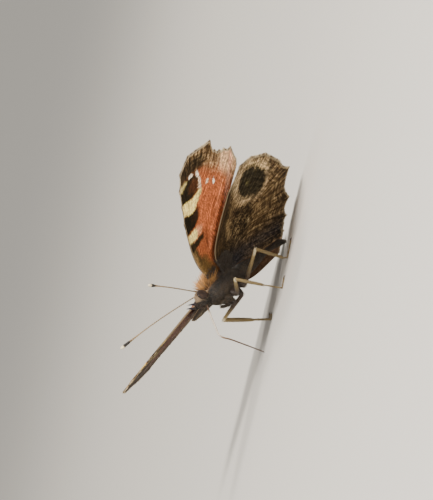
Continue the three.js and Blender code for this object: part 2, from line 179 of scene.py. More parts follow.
def tube(path, wide, high, sides, side_way=(1, 0, 0)):
    """A closed round form along path: its corners, faces, UV places and the way its hair lies."""
    path = np.asarray(path, float)
    wide, high = np.broadcast_to(wide, len(path)), np.broadcast_to(high, len(path))
    along = np.gradient(path, axis=0)
    along /= np.linalg.norm(along, axis=1)[:, None]
    across = np.asarray(side_way, float) - along * (along @ np.asarray(side_way, float))[:, None]
    across /= np.linalg.norm(across, axis=1)[:, None]
    over = np.cross(along, across)
    angles = 2 * np.pi * np.arange(sides) / sides
    corners, lie, share = [path[0]], [along[0]], [0.0]
    for j in range(1, len(path) - 1):
        for angle in angles:
            aside, above = wide[j] * math.cos(angle), high[j] * math.sin(angle)
            corners.append(path[j] + across[j] * aside + over[j] * above)
            lie.append(along[j])
            share.append(j / (len(path) - 1))
    corners.append(path[-1])
    lie.append(along[-1])
    share.append(1.0)
    rows = len(path) - 2

    def number(j, k):
        return 1 + j * sides + k % sides

    def spot(j, k):
        return k / sides, (j + 1) / (rows + 1)

    faces, uvs = [], []
    for k in range(sides):
        faces.append((0, number(0, k + 1), number(0, k)))
        uvs.append(((k + 0.5) / sides, 0.0, *spot(0, k + 1), *spot(0, k)))
        for j in range(rows - 1):
            faces.append((number(j, k), number(j, k + 1), number(j + 1, k + 1), number(j + 1, k)))
            uvs.append((*spot(j, k), *spot(j, k + 1), *spot(j + 1, k + 1), *spot(j + 1, k)))
        faces.append((number(rows - 1, k), number(rows - 1, k + 1), len(corners) - 1))
        uvs.append((*spot(rows - 1, k), *spot(rows - 1, k + 1), (k + 0.5) / sides, 1.0))
    return {"corners": np.array(corners), "faces": faces, "uvs": uvs, "lie": np.array(lie),
            "share": np.array(share)}


def smooth_piece(name, corners, faces, uvs, finishes, **attributes):
    """A smooth mesh object from corners in the body's frame, with a UV place for each corner of each face
    and attributes for each corner. The attribute lie is a direction, and is turned with the body."""
    mesh = bpy.data.meshes.new(name)
    mesh.from_pydata(on_body(corners).tolist(), [], faces)
    mesh.uv_layers.new(name="OFBake").data.foreach_set("uv", np.asarray(uvs).ravel())
    attributes["lie"] = attributes["lie"] @ np.array(body_turn).T
    for label, given in attributes.items():
        kind, field = ("FLOAT_VECTOR", "vector") if given.ndim > 1 else ("FLOAT", "value")
        mesh.attributes.new(label, kind, "POINT").data.foreach_set(field, given.flatten())
    mesh.shade_smooth()
    for used in finishes:
        mesh.materials.append(used.material)
    return put_in(name, mesh)


def build(name, parts, finish):
    """One piece of several tubes, each on its own strip of the UV map."""
    faces, uvs = [], []
    for i, part in enumerate(parts):
        first = sum(len(earlier["corners"]) for earlier in parts[:i])
        faces += [tuple(first + n for n in face) for face in part["faces"]]
        uvs += [(np.array(uv).reshape(-1, 2) + (i, 0)) / (len(parts), 1) for uv in part["uvs"]]
    corners, lie, share = (np.concatenate([part[kept] for part in parts])
                           for kept in ("corners", "lie", "share"))
    return smooth_piece(name, corners, faces, np.concatenate(uvs), [finish], root=corners, lie=lie,
                        share=share, reach=corners[:, 1])


def declare(piece, slot, *nodes):
    """A finished piece rides on the model's one body and stands for its CAD nodes."""
    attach(piece, "root")
    if nodes:
        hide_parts(*nodes)


class Recipe:
    """A node tree written one node at a time: most calls add a node and give back its result."""

    def __init__(self, tree):
        self.tree = tree

    def node(self, kind, settings=None, **values):
        """Properties come from settings and inputs from values, by name or as i and their number. A
        socket given as a value is linked."""
        made = self.tree.nodes.new(kind)
        for name, value in (settings or {}).items():
            setattr(made, name, value)
        for name, value in values.items():
            socket = made.inputs[int(name[1:])] if name[1:].isdigit() else made.inputs[name.replace("_", " ")]
            if isinstance(value, bpy.types.NodeSocket):
                self.tree.links.new(value, socket)
            else:
                socket.default_value = value
        return made

    def read(self, label, output="Vector"):
        return self.node("ShaderNodeAttribute", {"attribute_name": label}).outputs[output]

    def noise(self, place, scale, detail=2.0, breakup=0.5, output="Fac"):
        return self.node("ShaderNodeTexNoise", Vector=place, Scale=scale, Detail=detail,
                         Roughness=breakup).outputs[output]

    def cells(self, place, scale, randomness=1.0):
        """How far a place is from the middle of the nearest of many cells."""
        return self.node("ShaderNodeTexVoronoi", Vector=place, Scale=scale,
                         Randomness=randomness).outputs["Distance"]

    def ramp(self, value, low, high, at_low, at_high, way="SMOOTHSTEP"):
        """From at_low to at_high as value goes from low to high."""
        return self.node("ShaderNodeMapRange", {"interpolation_type": way}, Value=value, i1=low, i2=high,
                         i3=at_low, i4=at_high).outputs[0]

    def shades(self, share, *stops):
        """Colours that run into each other as share passes each stop, (share, colour)."""
        made = self.node("ShaderNodeValToRGB", Fac=share)
        elements = made.color_ramp.elements
        for element, (at, tint) in zip((elements[0], elements[-1]), (stops[0], stops[-1])):
            element.position, element.color = at, colour(*tint)
        for at, tint in stops[1:-1]:
            elements.new(at).color = colour(*tint)
        return made.outputs["Color"]

    def blend(self, share, under, over):
        """Colour over laid on colour under."""
        return self.node("ShaderNodeMix", {"data_type": "RGBA"}, i0=share, i6=under, i7=over).outputs[2]

    def between(self, share, first, second):
        return self.node("ShaderNodeMix", i0=share, i2=first, i3=second).outputs[0]

    def math(self, operation, *values):
        numbered = {f"i{k}": value for k, value in enumerate(values)}
        return self.node("ShaderNodeMath", {"operation": operation}, **numbered).outputs[0]

    def product(self, *values):
        both = values[0]
        for value in values[1:]:
            both = self.math("MULTIPLY", both, value)
        return both

    def vector(self, operation, *values, output=0):
        numbered = {f"i{k}": value for k, value in enumerate(values)}
        return self.node("ShaderNodeVectorMath", {"operation": operation}, **numbered).outputs[output]

    def scaled(self, vector, share):
        return self.node("ShaderNodeVectorMath", {"operation": "SCALE"}, i0=vector, Scale=share).outputs[0]

    def placed(self, group, **values):
        """The outputs of a node group that is placed here with its own values."""
        return self.node("ShaderNodeGroup", {"node_tree": group.tree}, **values).outputs


class Finish(Recipe):
    """A material with one shader, whose fixed values are given by name."""

    def __init__(self, name, base, roughness, **fixed):
        self.material = bpy.data.materials.new(name)
        self.material.use_nodes = True
        super().__init__(self.material.node_tree)
        self.shader = self.tree.nodes["Principled BSDF"]
        for label, value in {"Base_Color": colour(*base), "Roughness": roughness, **fixed}.items():
            self.shader.inputs[label.replace("_", " ")].default_value = value

    def cover(self, tint, roughness, relief, strength, depth, sunk=False):
        """Link the colour, the roughness and the relief, this many metres deep, to the shader."""
        bump = self.node("ShaderNodeBump", {"invert": sunk}, Height=relief, Strength=strength, Distance=depth)
        normal = bump.outputs["Normal"]
        for label, made in (("Base Color", tint), ("Roughness", roughness), ("Normal", normal)):
            self.tree.links.new(made, self.shader.inputs[label])

    def cover_grained(self, tint, place, strength, depth, relief=None, **values):
        """Cover with a colour that the grain group mottles, and with the grain's relief or one given."""
        made = self.placed(grain, Colour=tint, Place=place, **values)
        relief = made["Height"] if relief is None else relief
        self.cover(made["Colour"], made["Roughness"], relief, strength, depth)


class Group(Recipe):
    """A node group with named inputs and outputs. An input is given as its kind, or as the number that
    it has where a material gives none."""

    def __init__(self, name, inputs, outputs, kind="ShaderNodeTree"):
        super().__init__(bpy.data.node_groups.new(name, kind))
        for way, labels in (("INPUT", inputs), ("OUTPUT", outputs)):
            for label, given in labels.items():
                socket_kind = given if isinstance(given, str) else "Float"
                socket = self.tree.interface.new_socket(label, in_out=way,
                                                        socket_type="NodeSocket" + socket_kind)
                if socket_kind != given:
                    socket.default_value = given
        self.given = self.tree.nodes.new("NodeGroupInput").outputs

    def put_out(self, **made):
        end = self.tree.nodes.new("NodeGroupOutput")
        for label, socket in made.items():
            self.tree.links.new(socket, end.inputs[label])


# The grain of hair and scales: noise darkens and lightens them, roughens them and raises them, and a hair
# changes from its root to its tip.
grain = Group(
    "grain",
    {"Colour": "Color", "Place": "Vector", "Along": 0.0, "Scale": 5.0, "Detail": 2.0, "Breakup": 0.5,
     "Low": 0.3, "High": 0.7, "Darkest": 1.0, "Lightest": 1.0, "At Root": 1.0, "At Tip": 1.0,
     "Smoothest": 0.5, "Roughest": 0.8},
    {"Colour": "Color", "Roughness": "Float", "Height": "Float"},
)
given = grain.given
grain_noise = grain.noise(given["Place"], given["Scale"], given["Detail"], given["Breakup"])
fleck = grain.ramp(grain_noise, given["Low"], given["High"], given["Darkest"], given["Lightest"], "LINEAR")
light_along = grain.ramp(given["Along"], 0.0, 1.0, given["At Root"], given["At Tip"], "LINEAR")
grain.put_out(Colour=grain.scaled(grain.scaled(given["Colour"], fleck), light_along),
              Roughness=grain.ramp(grain_noise, 0.0, 1.0, given["Smoothest"], given["Roughest"], "LINEAR"),
              Height=grain_noise)

profile = through(BODY_RINGS_AT, np.linspace(0, 1, BODY_RINGS))
groove_phase = (profile[:, 0] - FIRST_GROOVE) / ABDOMEN_RING_LENGTH
groove = np.exp(-((groove_phase - np.round(groove_phase)) / GROOVE_SHARE) ** 2)
groove *= profile[:, 0] < ABDOMEN_FROM
profile[:, 1:3] = np.maximum(profile[:, 1:3] * (1 - ABDOMEN_GROOVE * groove)[:, None], 0)
body_path = np.stack([profile[:, 0] * 0, -profile[:, 0], profile[:, 3]], axis=1)

# The hair's colours are told by where a lock is rooted, so the skin under it is coloured alike.
FUR_DARK, FUR_LIGHT = (14, 10, 8), (64, 51, 36)
BELLY_FUR, BACK_FUR = (72, 58, 40), (108, 72, 46)
# between which heights in the body's frame these two come in
BELLY_UP, BACK_UP = (0.4, -1.6), (0.8, 1.8)
# where the hair takes another colour: (back, up), radius, colour
FUR_TINTS = {
    "shoulders": ((-1.5, 3.6), 2.9, (208, 152, 84)),
    "crown": ((-4.9, 2.2), 2.0, (176, 150, 118)),
    "chin": ((-5.9, 0.2), 0.9, (52, 42, 34)),
    "tips of the palps": ((-8.1, 2.0), 1.7, (40, 42, 62)),
}
fur = Finish("body_hair", (84, 66, 46), 0.75, Sheen_Weight=0.1)
rooted_at = fur.read("root")
root_up = fur.node("ShaderNodeSeparateXYZ", Vector=rooted_at).outputs["Z"]
patchy = fur.noise(rooted_at, 1.9, 4.0, 0.7)
fur_colour = fur.shades(patchy, (0.4, FUR_DARK), (0.62, FUR_LIGHT))
below = fur.product(fur.ramp(root_up, *BELLY_UP, 0.0, 1.0), patchy)
fur_colour = fur.blend(below, fur_colour, colour(*BELLY_FUR))
fur_colour = fur.blend(fur.ramp(root_up, *BACK_UP, 0.0, 0.7), fur_colour, colour(*BACK_FUR))
for (back, up), radius, tint in FUR_TINTS.values():
    away = fur.vector("DISTANCE", fur.vector("MULTIPLY", rooted_at, (0, 1, 1)), (0, back, up), output="Value")
    fur_colour = fur.blend(fur.ramp(away, radius * 0.5, radius, 0.9, 0.0), fur_colour, colour(*tint))
fur.cover_grained(fur_colour, rooted_at, 0.4, 0.05 * MM, Along=fur.read("along", "Fac"), Scale=9.0,
                  Breakup=0.7, Low=0.38, High=0.64, Darkest=0.5, Lightest=1.4, At_Root=0.7, At_Tip=1.5,
                  Smoothest=0.55, Roughest=0.9)

body_skin = build("body_skin", [tube(body_path, profile[:, 1], profile[:, 2], BODY_SIDES)], fur)
declare(body_skin, "fur", "head", "thorax", "abdomen")

# Hair of the body
# Soft hair-like scales grow backwards over head, thorax and abdomen: long and shaggy on the thorax, short
# on the face, flat on the abdomen. Each lock is three tapering hairs, rooted in the skin.
HAIR_STEPS = (0, 0.35, 0.7)
HAIR_SECTION = ((-1, -0.6), (1, -0.6), (0, 0.8))
HAIR_TAPER = 0.75
HAIR_FAN, ROOTS_APART = 0.16, 0.25
HAIR_BEND = 0.22
OUTER_HAIR_SHORTER = 0.14
LOCK_PATCH = 0.003
SHORTEST_HAIR, LONGEST_HAIR = 0.6, 1.2


def hair_lock(name, hairs, half_width):
    """A lock one unit long that grows along Z and bends down to -Y, with its own small UV patch."""
    corners, faces, along = [], [], []
    for i in range(hairs):
        from_middle = i - (hairs - 1) / 2
        lean = from_middle * HAIR_FAN
        length = 1 - OUTER_HAIR_SHORTER * abs(from_middle)
        first = len(corners)
        for step in HAIR_STEPS:
            half = half_width * (1 - HAIR_TAPER * step)
            for x, y in HAIR_SECTION:
                corners.append((lean * (ROOTS_APART + step) + half * x, half * y - HAIR_BEND * step**2,
                                step * length))
                along.append(step)
        corners.append((lean * (ROOTS_APART + 1), -HAIR_BEND, length))
        along.append(1.0)
        faces.append((first, first + 2, first + 1))
        for j in range(len(HAIR_STEPS) - 1):
            for k in range(3):
                a, b = first + 3 * j + k, first + 3 * j + (k + 1) % 3
                faces.append((a, b, b + 3, a + 3))
        last = first + 3 * (len(HAIR_STEPS) - 1)
        faces += [(last + k, last + (k + 1) % 3, last + 3) for k in range(3)]
    mesh = bpy.data.meshes.new(name)
    mesh.from_pydata(corners, [], faces)
    mesh.attributes.new("along", "FLOAT", "POINT").data.foreach_set("value", along)
    spots = [(corners[n][0] + 0.5, along[n]) for face in faces for n in face]
    mesh.attributes.new("patch", "FLOAT2", "CORNER").data.foreach_set("vector", np.array(spots).ravel())
    mesh.shade_smooth()
    return put_in(name, mesh)


# The coat: locks on that part of a skin whose attribute reach lies between From and To. They follow the
# skin's attribute lie, lifted off the skin and turned at random, and each takes its root's UV place.
coat = Group(
    "coat",
    {"Skin": "Geometry", "Lock": "Object", "Density": "Float", "Length": "Float", "Lift": "Float",
     "Spread": "Float", "From": "Float", "To": "Float", "Seed": "Int", "Hair": "Material"},
    {"Coat": "Geometry"}, "GeometryNodeTree",
)
given = coat.given


def named(label, kind="FLOAT_VECTOR"):
    return coat.node("GeometryNodeInputNamedAttribute", {"data_type": kind}, Name=label).outputs["Attribute"]


def stored(geometry, label, value, kind, domain):
    return coat.node("GeometryNodeStoreNamedAttribute", {"data_type": kind, "domain": domain},
                     Geometry=geometry, Name=label, Value=value).outputs[0]


reach_here = named("reach", "FLOAT")
after = coat.node("FunctionNodeCompare", {"operation": "GREATER_THAN"}, i0=reach_here, i1=given["From"])
before = coat.node("FunctionNodeCompare", {"operation": "LESS_THAN"}, i0=reach_here, i1=given["To"])
inside = coat.node("FunctionNodeBooleanMath", {"operation": "AND"}, i0=after.outputs[0], i1=before.outputs[0])
scatter = coat.node("GeometryNodeDistributePointsOnFaces", Mesh=given["Skin"], Density=given["Density"],
                    Selection=inside.outputs[0], Seed=given["Seed"])
roots = stored(scatter.outputs["Points"], "root_uv", named("OFBake"), "FLOAT_VECTOR", "POINT")
roots = coat.node("GeometryNodeRemoveAttribute", Geometry=roots, Name="OFBake").outputs[0]
stray = coat.node("FunctionNodeRandomValue", {"data_type": "FLOAT_VECTOR"}, Seed=given["Seed"])
stray.inputs["Min"].default_value = (-1, -1, -1)
lifted = coat.scaled(scatter.outputs["Normal"], given["Lift"])
leaning = coat.vector("ADD", named("lie"), lifted)
heading = coat.vector("ADD", leaning, coat.scaled(stray.outputs[0], given["Spread"]))
aimed = coat.node("FunctionNodeAlignRotationToVector", {"axis": "Z"}, Vector=heading)
turned = coat.node("FunctionNodeAlignRotationToVector", {"axis": "Y", "pivot_axis": "Z"},
                   Rotation=aimed.outputs[0], Vector=scatter.outputs["Normal"])
size_spread = coat.node("FunctionNodeRandomValue", {"data_type": "FLOAT"}, i2=SHORTEST_HAIR, i3=LONGEST_HAIR,
                        Seed=given["Seed"])
lock_shape = coat.node("GeometryNodeObjectInfo", Object=given["Lock"])
grown = coat.node("GeometryNodeInstanceOnPoints", Points=roots, Instance=lock_shape.outputs["Geometry"],
                  Rotation=turned.outputs[0], Scale=coat.product(size_spread.outputs[1], given["Length"]))
real = coat.node("GeometryNodeRealizeInstances", Geometry=grown.outputs[0])
patch = coat.vector("MULTIPLY_ADD", named("patch"), (LOCK_PATCH,) * 3, (-LOCK_PATCH / 2,) * 3)
spot = coat.vector("ADD", patch, named("root_uv"))
mapped = stored(real.outputs[0], "OFBake", spot, "FLOAT2", "CORNER")
coat.put_out(Coat=coat.node("GeometryNodeSetMaterial", Geometry=mapped, Material=given["Hair"]).outputs[0])

lock = hair_lock("hair_lock", 3, 0.035)
single_hair = hair_lock("single_hair", 1, 0.05)


def grow_hair(name, skin, shape, finish, slot, per_square_mm, length, lift, spread, span, seed):
    """Hair over the part of a skin whose reach attribute lies in the span, pressed flat at the floor."""
    bearer = put_in(name + "_bearer", skin.data.copy())
    modifier = bearer.modifiers.new("coat", "NODES")
    modifier.node_group = coat.tree
    sockets = coat.tree.interface.items_tree
    inputs = {socket.name: socket.identifier for socket in sockets if socket.in_out == "INPUT"}
    for label, value in {
        "Lock": shape, "Density": per_square_mm / MM**2, "Length": length * MM, "Lift": lift,
        "Spread": spread, "From": span[0], "To": span[1], "Seed": seed, "Hair": finish.material,
    }.items():
        modifier[inputs[label]] = value
    mesh = bpy.data.meshes.new_from_object(bearer.evaluated_get(bpy.context.evaluated_depsgraph_get()))
    mesh.name = name
    bpy.data.objects.remove(bearer)
    places = np.empty(len(mesh.vertices) * 3)
    mesh.vertices.foreach_get("co", places)
    places[2::3] = np.maximum(places[2::3], 0)
    mesh.vertices.foreach_set("co", places)
    for label in ("patch", "root_uv"):
        mesh.attributes.remove(mesh.attributes[label])
    declare(put_in(name, mesh), slot)


def grow_tuft(name, skin, label, centre, *how):
    """Hair round a place, as grow_hair grows it, with the reach counted in millimetres from centre. The
    skin's places are told by its attribute label."""
    tufted = put_in(name + "_skin", skin.data.copy())
    places = np.empty(len(tufted.data.vertices) * 3)
    tufted.data.attributes[label].data.foreach_get("vector", places)
    away = np.linalg.norm(places.reshape(-1, 3) - centre, axis=1)
    tufted.data.attributes["reach"].data.foreach_set("value", away)
    grow_hair(name, tufted, *how)
    bpy.data.objects.remove(tufted)


# locks for each square millimetre, length, lift off the skin, spread, span of reach, seed; the middle of a
# tuft is (forward, side, up)
BODY_HAIR = {
    "hair_thorax": (44, 1.0, 0.38, 0.28, (-3.7, 4.3), 11),
    "hair_head": (85, 0.5, 0.55, 0.35, (-6.0, -3.7), 12),
    "hair_abdomen": (36, 0.55, 0.16, 0.14, (4.3, 17.2), 13),
}
for name, how in BODY_HAIR.items():
    grow_hair(name, body_skin, lock, fur, "fur", *how)
# the hair stands up longest between the forewings, and fills the space between the roots of a side's wings
HAIR_TUFTS = {
    "hair_mane": ((1.2, 0, 2.6), 1, 90, 2.7, 1.7, 0.35, (-1, 1.7), 16),
    "hair_hinge_left": ((-0.9, 1.2, 1.45), 1, 70, 1.3, 1.4, 0.5, (-1, 1.3), 14),
    "hair_hinge_right": ((-0.9, 1.2, 1.45), -1, 70, 1.3, 1.4, 0.5, (-1, 1.3), 15),
}
for name, (middle, hand, *how) in HAIR_TUFTS.items():
    grow_tuft(name, body_skin, "root", place(*middle, hand), lock, fur, "fur", *how)

# Eyes
# Each eye bulges from the side of the head and is made of thousands of lenses, dark brown with a dull
# gloss. It is set fast in the horny skin, and the hair of the head reaches up to its rim.
EYE_RADII = np.array((0.58, 0.92, 1.0))
EYE_INNER_SHARE = 0.6
EYE_CENTRE = (4.95, 1.22, 1.3)
EYE_RINGS = 40
EYE_SIDES = 48
LENSES_A_MM = 11.0
HANDS = (("left", 1), ("right", -1))
lenses = Finish("eye_lenses", (40, 27, 22), 0.3, Coat_Weight=0.08, Specular_IOR_Level=0.25)
lens_place = lenses.read("root")
from_lens = lenses.cells(lens_place, LENSES_A_MM, 0.15)
lens_bands = lenses.shades(lenses.noise(lens_place, 1.6), (0.35, (28, 19, 17)), (0.7, (60, 44, 34)))
lens_gloss = lenses.ramp(from_lens, 0.0, 0.6, 0.45, 0.7, "LINEAR")
lenses.cover(lens_bands, lens_gloss, from_lens, 0.5, 0.03 * MM, sunk=True)
for side, hand in HANDS:
    swing = np.pi * np.arange(EYE_RINGS)[::-1] / (EYE_RINGS - 1)
    # the eye is flatter where it meets the head, and bulges outward
    outward = np.cos(swing) * np.where(np.cos(swing) > 0, 1.0, EYE_INNER_SHARE) * EYE_RADII[0]
    path = place(*EYE_CENTRE, hand) + np.stack([-outward * hand, swing * 0, swing * 0], axis=1)
    eyeball = tube(path, EYE_RADII[1] * np.sin(swing), EYE_RADII[2] * np.sin(swing), EYE_SIDES, (0, 1, 0))
    declare(build("eyeball_" + side, [eyeball], lenses), "eye", "eye_" + side[0])

# Palps
# Two feeling organs of horny joints, held together in front of the face like a short beak. They are set
# under the head, one on each side of the tongue, and thickly covered with scales.
PALP_JOINTS = ((5.3, 0.42, 0.45, 0.13), (6.3, 0.5, 0.75, 0.2), (7.1, 0.5, 1.25, 0.19), (7.6, 0.47, 1.7, 0.11),
               (8.0, 0.45, 2.0, 0.02))
PALP_HAIR = (170, 0.3, 0.2, 0.12, (-9, 0))


def jointed(joints, hand, rings, sides):
    """A tube through joints given as (forward, side, up, radius)."""
    bent = through([(*place(*joint[:3], hand), joint[3]) for joint in joints], np.linspace(0, 1, rings))
    return tube(bent[:, :3], bent[:, 3], bent[:, 3], sides, (0.2, 0.1, 1))


for side, hand in HANDS:
    palp = build("beak_" + side, [jointed(PALP_JOINTS, hand, rings=26, sides=12)], fur)
    declare(palp, "fur", "palp_" + side[0])
    grow_hair("beak_hair_" + side, palp, lock, fur, "fur", *PALP_HAIR, seed=20 + hand)

# Tongue
# A hollow horny tube of two halves zipped together, which coils up under the head at rest. It is stretched
# down to feed, with a bend a third of the way down.
TONGUE_JOINTS = ((5.3, 0, -0.05, 0.17), (7.0, 0, -1.75, 0.16), (9.0, 0, -3.95, 0.15), (10.1, 0, -5.25, 0.14),
                 (10.2, 0, -6.0, 0.14), (9.75, 0, -7.2, 0.13), (9.2, 0, -9.4, 0.12), (8.75, 0, -11.4, 0.11),
                 (8.45, 0, -12.9, 0.09), (8.4, 0, -13.2, 0.03))
TONGUE_WRINKLES = 95
# down the tongue: dark at its root, then a painted glint from 0.1 to 0.36 of the way down, then its own dark
# brown
TONGUE_SHADES_AND_GLINT = ((0, (60, 44, 34)), (0.06, (80, 58, 42)), (0.1, (212, 198, 180)), (0.36, (216, 204, 188)),
                 (0.46, (126, 98, 72)), (0.6, (74, 52, 38)), (1, (46, 32, 26)))
horn = Finish("tongue_horn", (96, 70, 48), 0.32)
down_tongue = horn.read("share", "Fac")
wrinkle = horn.math("SINE", horn.product(down_tongue, TONGUE_WRINKLES * 2 * math.pi))
horn.cover_grained(horn.shades(down_tongue, *TONGUE_SHADES_AND_GLINT), horn.read("root"), 0.35, 0.03 * MM, wrinkle,
                   Scale=5.0, Detail=3.0, Darkest=0.82, Lightest=1.12, Smoothest=0.22, Roughest=0.45)
declare(build("tongue", [jointed(TONGUE_JOINTS, 1, rings=110, sides=14)], horn), "proboscis", "proboscis")

# Feelers
# Each is a string of some forty ring joints, dark with a collar of pale scales, that swells into a black
# club with a cream tip. It stands in a socket on the crown.
FEELER_ROOT = (4.16, 0.36, 2.4)
FEELER_LENGTH = 15.7
FEELER_RINGS = 38
RINGS_TO = 0.9
RING_FLARE = 0.24
FEELER_BOW = 0.35
# degrees out from straight ahead, and up
FEELER_AIM = {"left": (33, 15), "right": (29, 21.8)}
FEELER_WIDTHS = ((0, 0.2), (0.02, 0.2), (0.035, 0.12), (0.1, 0.1), (0.7, 0.105), (0.8, 0.14), (0.88, 0.22),
                 (0.93, 0.31), (0.97, 0.31), (0.99, 0.22), (1, 0.02))
FEELER_SHADES = ((0, (64, 48, 36)), (0.5, (92, 72, 52)), (0.76, (138, 112, 78)), (0.85, (96, 74, 50)),
                 (0.875, (30, 22, 18)), (0.95, (26, 20, 18)), (0.962, (236, 220, 182)), (1, (246, 236, 206)))
COLLAR_COLOUR = (176, 152, 116)
# shares of a ring where its collar begins and is full, and shares of the feeler where collars end
COLLAR_IN_RING, COLLARS_END = (0.35, 0.6), (0.84, 0.88)
ringed = Finish("feeler_scales", (60, 45, 34), 0.55)
out_feeler = ringed.read("share", "Fac")
in_ring = ringed.math("FRACT", ringed.product(out_feeler, FEELER_RINGS))
collar = ringed.product(ringed.ramp(in_ring, *COLLAR_IN_RING, 0.0, 0.65),
                        ringed.ramp(out_feeler, *COLLARS_END, 1.0, 0.0, "LINEAR"))
feeler_colour = ringed.blend(collar, ringed.shades(out_feeler, *FEELER_SHADES), colour(*COLLAR_COLOUR))
ringed.cover_grained(feeler_colour, ringed.read("root"), 0.4, 0.03 * MM, Scale=8.0, Darkest=0.8, Lightest=1.2,
                     Smoothest=0.4, Roughest=0.7)
for side, hand in HANDS:
    spread_angle, raise_angle = (math.radians(angle) for angle in FEELER_AIM[side])
    level = math.cos(raise_angle)
    ahead = place(level * math.cos(spread_angle), level * math.sin(spread_angle), math.sin(raise_angle), hand)
    shares = np.linspace(0, 1, FEELER_RINGS * 4 + 1)
    bow = FEELER_BOW * np.sin(np.pi * shares)[:, None] * place(0, 0, 1)
    path = place(*FEELER_ROOT, hand) + shares[:, None] * FEELER_LENGTH * ahead + bow
    flare = 1 - RING_FLARE / 2 + RING_FLARE * (shares * FEELER_RINGS % 1) * (shares < RINGS_TO)
    widths = np.interp(shares, *zip(*FEELER_WIDTHS)) * flare
    declare(build("feeler_" + side, [tube(path, widths, widths, 14)], ringed), "feeler", "antenna_" + side[0])

# Legs
# Four walking legs and, folded under the chest, two brush-like forelegs. Each walking leg has a short hip, a
# thigh, a shank and a five-ringed foot with two claws; the spurs on the shank are not drawn. The thighs'
# bases are dark and hairy, and the rest is covered with flat tan scales, palest at the knees.
JOINT_OVERLAP = 0.4
FOOT_RADIUS = 0.12
# how far along the way from ankle to heel, and from heel to toe, the foot's rings meet
ANKLE_RING, TOE_RINGS = 0.62, (0.34, 0.66)
# a claw's bend and tip: (ahead of the toe, aside, up)
CLAW_BEND, CLAW_TIP = (0.2, 0.1, 0.05), (0.42, 0.16, 0.02 - FOOT_RADIUS)
CLAW_WIDTHS = (0.07, 0.05, 0.01)
# hand, hip, ring under the hip, knee and ankle as (forward, side, up), heel and toe on the floor
LEGS = {
    "midleg_left": (1, (0.6, 0.6, -1.5), (0.6, 1.1, -3.1), (1.9, 5, -2.4), (0.4, 5.5, -6.8), (-0.8, 5.9),
                    (-2.3, 6.6)),
    "hindleg_left": (1, (-2, 0.6, -1.5), (-2, 1.1, -3), (-5.2, 6.5, -1.9), (-6.4, 6.7, -6.6), (-6.8, 6.8),
                     (-9.6, 7.9)),
    "midleg_right": (-1, (0.6, 0.6, -1.5), (0.6, 1.1, -3.1), (1.6, 5, -2.3), (-2, 5, -6.1), (-4.2, 5),
                     (-5.7, 5.4)),
    "hindleg_right": (-1, (-2, 0.6, -1.5), (-2, 1.1, -3), (-0.65, 6.9, -1.5), (-4.6, 7.6, -4.8), (-7.2, 8),
                      (-9, 8.8)),
}
# half widths along a joint of the leg, and its place in LEG_SHADES there
HIP = ((0.5, 0.52, 0.36), (0.0, 0.1))
THIGH = ((0.26, 0.3, 0.27, 0.23, 0.2), (0.08, 0.2, 0.45, 0.9, 1.0))
SHANK = ((0.19, 0.23, 0.24, 0.22, 0.18), (0.95, 0.6, 0.5, 0.5, 0.45))
FOOT_RING = ((0.085, 0.1, 0.12), (0.55, 0.5, 0.3))
LEG_SHADES = ((0, (44, 32, 24)), (0.25, (76, 56, 38)), (0.5, (128, 108, 66)), (0.8, (164, 140, 90)),
              (1, (255, 244, 208)))
FORELEG_JOINTS = ((2.4, 0.45, -1.3, 0.3), (1.95, 0.62, -2.2, 0.28), (1.85, 0.66, -2.55, 0.24),
                  (2.3, 0.64, -2.6, 0.2), (2.9, 0.6, -2.35, 0.17), (3.5, 0.5, -1.98, 0.1),
                  (3.6, 0.48, -1.9, 0.02))
EVERYWHERE = (-99, 99)
LEG_HAIR = (90, 0.34, 0.42, 0.22, EVERYWHERE)
FORELEG_HAIR = (80, 0.55, 0.45, 0.3, EVERYWHERE)
LEG_SCALES_A_MM = 12.0
leg_scales = Finish("leg_scales", (150, 125, 75), 0.5, Sheen_Weight=0.15)
leg_place = leg_scales.read("root")
leg_colour = leg_scales.shades(leg_scales.read("share", "Fac"), *LEG_SHADES)
leg_scales.cover_grained(leg_colour, leg_place, 0.4, 0.04 * MM, leg_scales.cells(leg_place, LEG_SCALES_A_MM),
                         Along=leg_scales.read("along", "Fac"), Scale=6.0, Detail=3.0, Breakup=0.7,
                         Darkest=0.66, Lightest=1.22, At_Root=0.9, At_Tip=1.3, Smoothest=0.38, Roughest=0.68)


def leg_joint(start, end, widths, tones, sides=12, rings=26):
    """One joint of a leg: a round tube with these half widths along it, and its shades from 0 to 1."""
    length = np.linalg.norm(end - start)
    ahead = (end - start) / length
    start, end = start - ahead * widths[0] * JOINT_OVERLAP, end + ahead * widths[-1] * JOINT_OVERLAP
    shares = (1 - np.cos(np.pi * np.arange(rings) / (rings - 1))) / 2
    width = np.interp(shares, np.linspace(0, 1, len(widths)), widths)
    from_end = np.clip(np.minimum(shares, 1 - shares) * length / width, 0, 1)
    width = width * np.sqrt(1 - (1 - from_end) ** 2)
    made = tube(start + (end - start) * shares[:, None], width, width, sides, (0.1, 0.2, 1))
    made["share"] = np.interp(made["share"], np.linspace(0, 1, len(tones)), tones)
    return made


def on_floor(forward, side, hand):
    """The place of a foot's middle that stands on the floor."""
    height = FOOT_RADIUS - body_origin.z / MM
    return place(forward, side, (height - math.sin(HEAD_UP_ANGLE) * forward) / math.cos(HEAD_UP_ANGLE), hand)


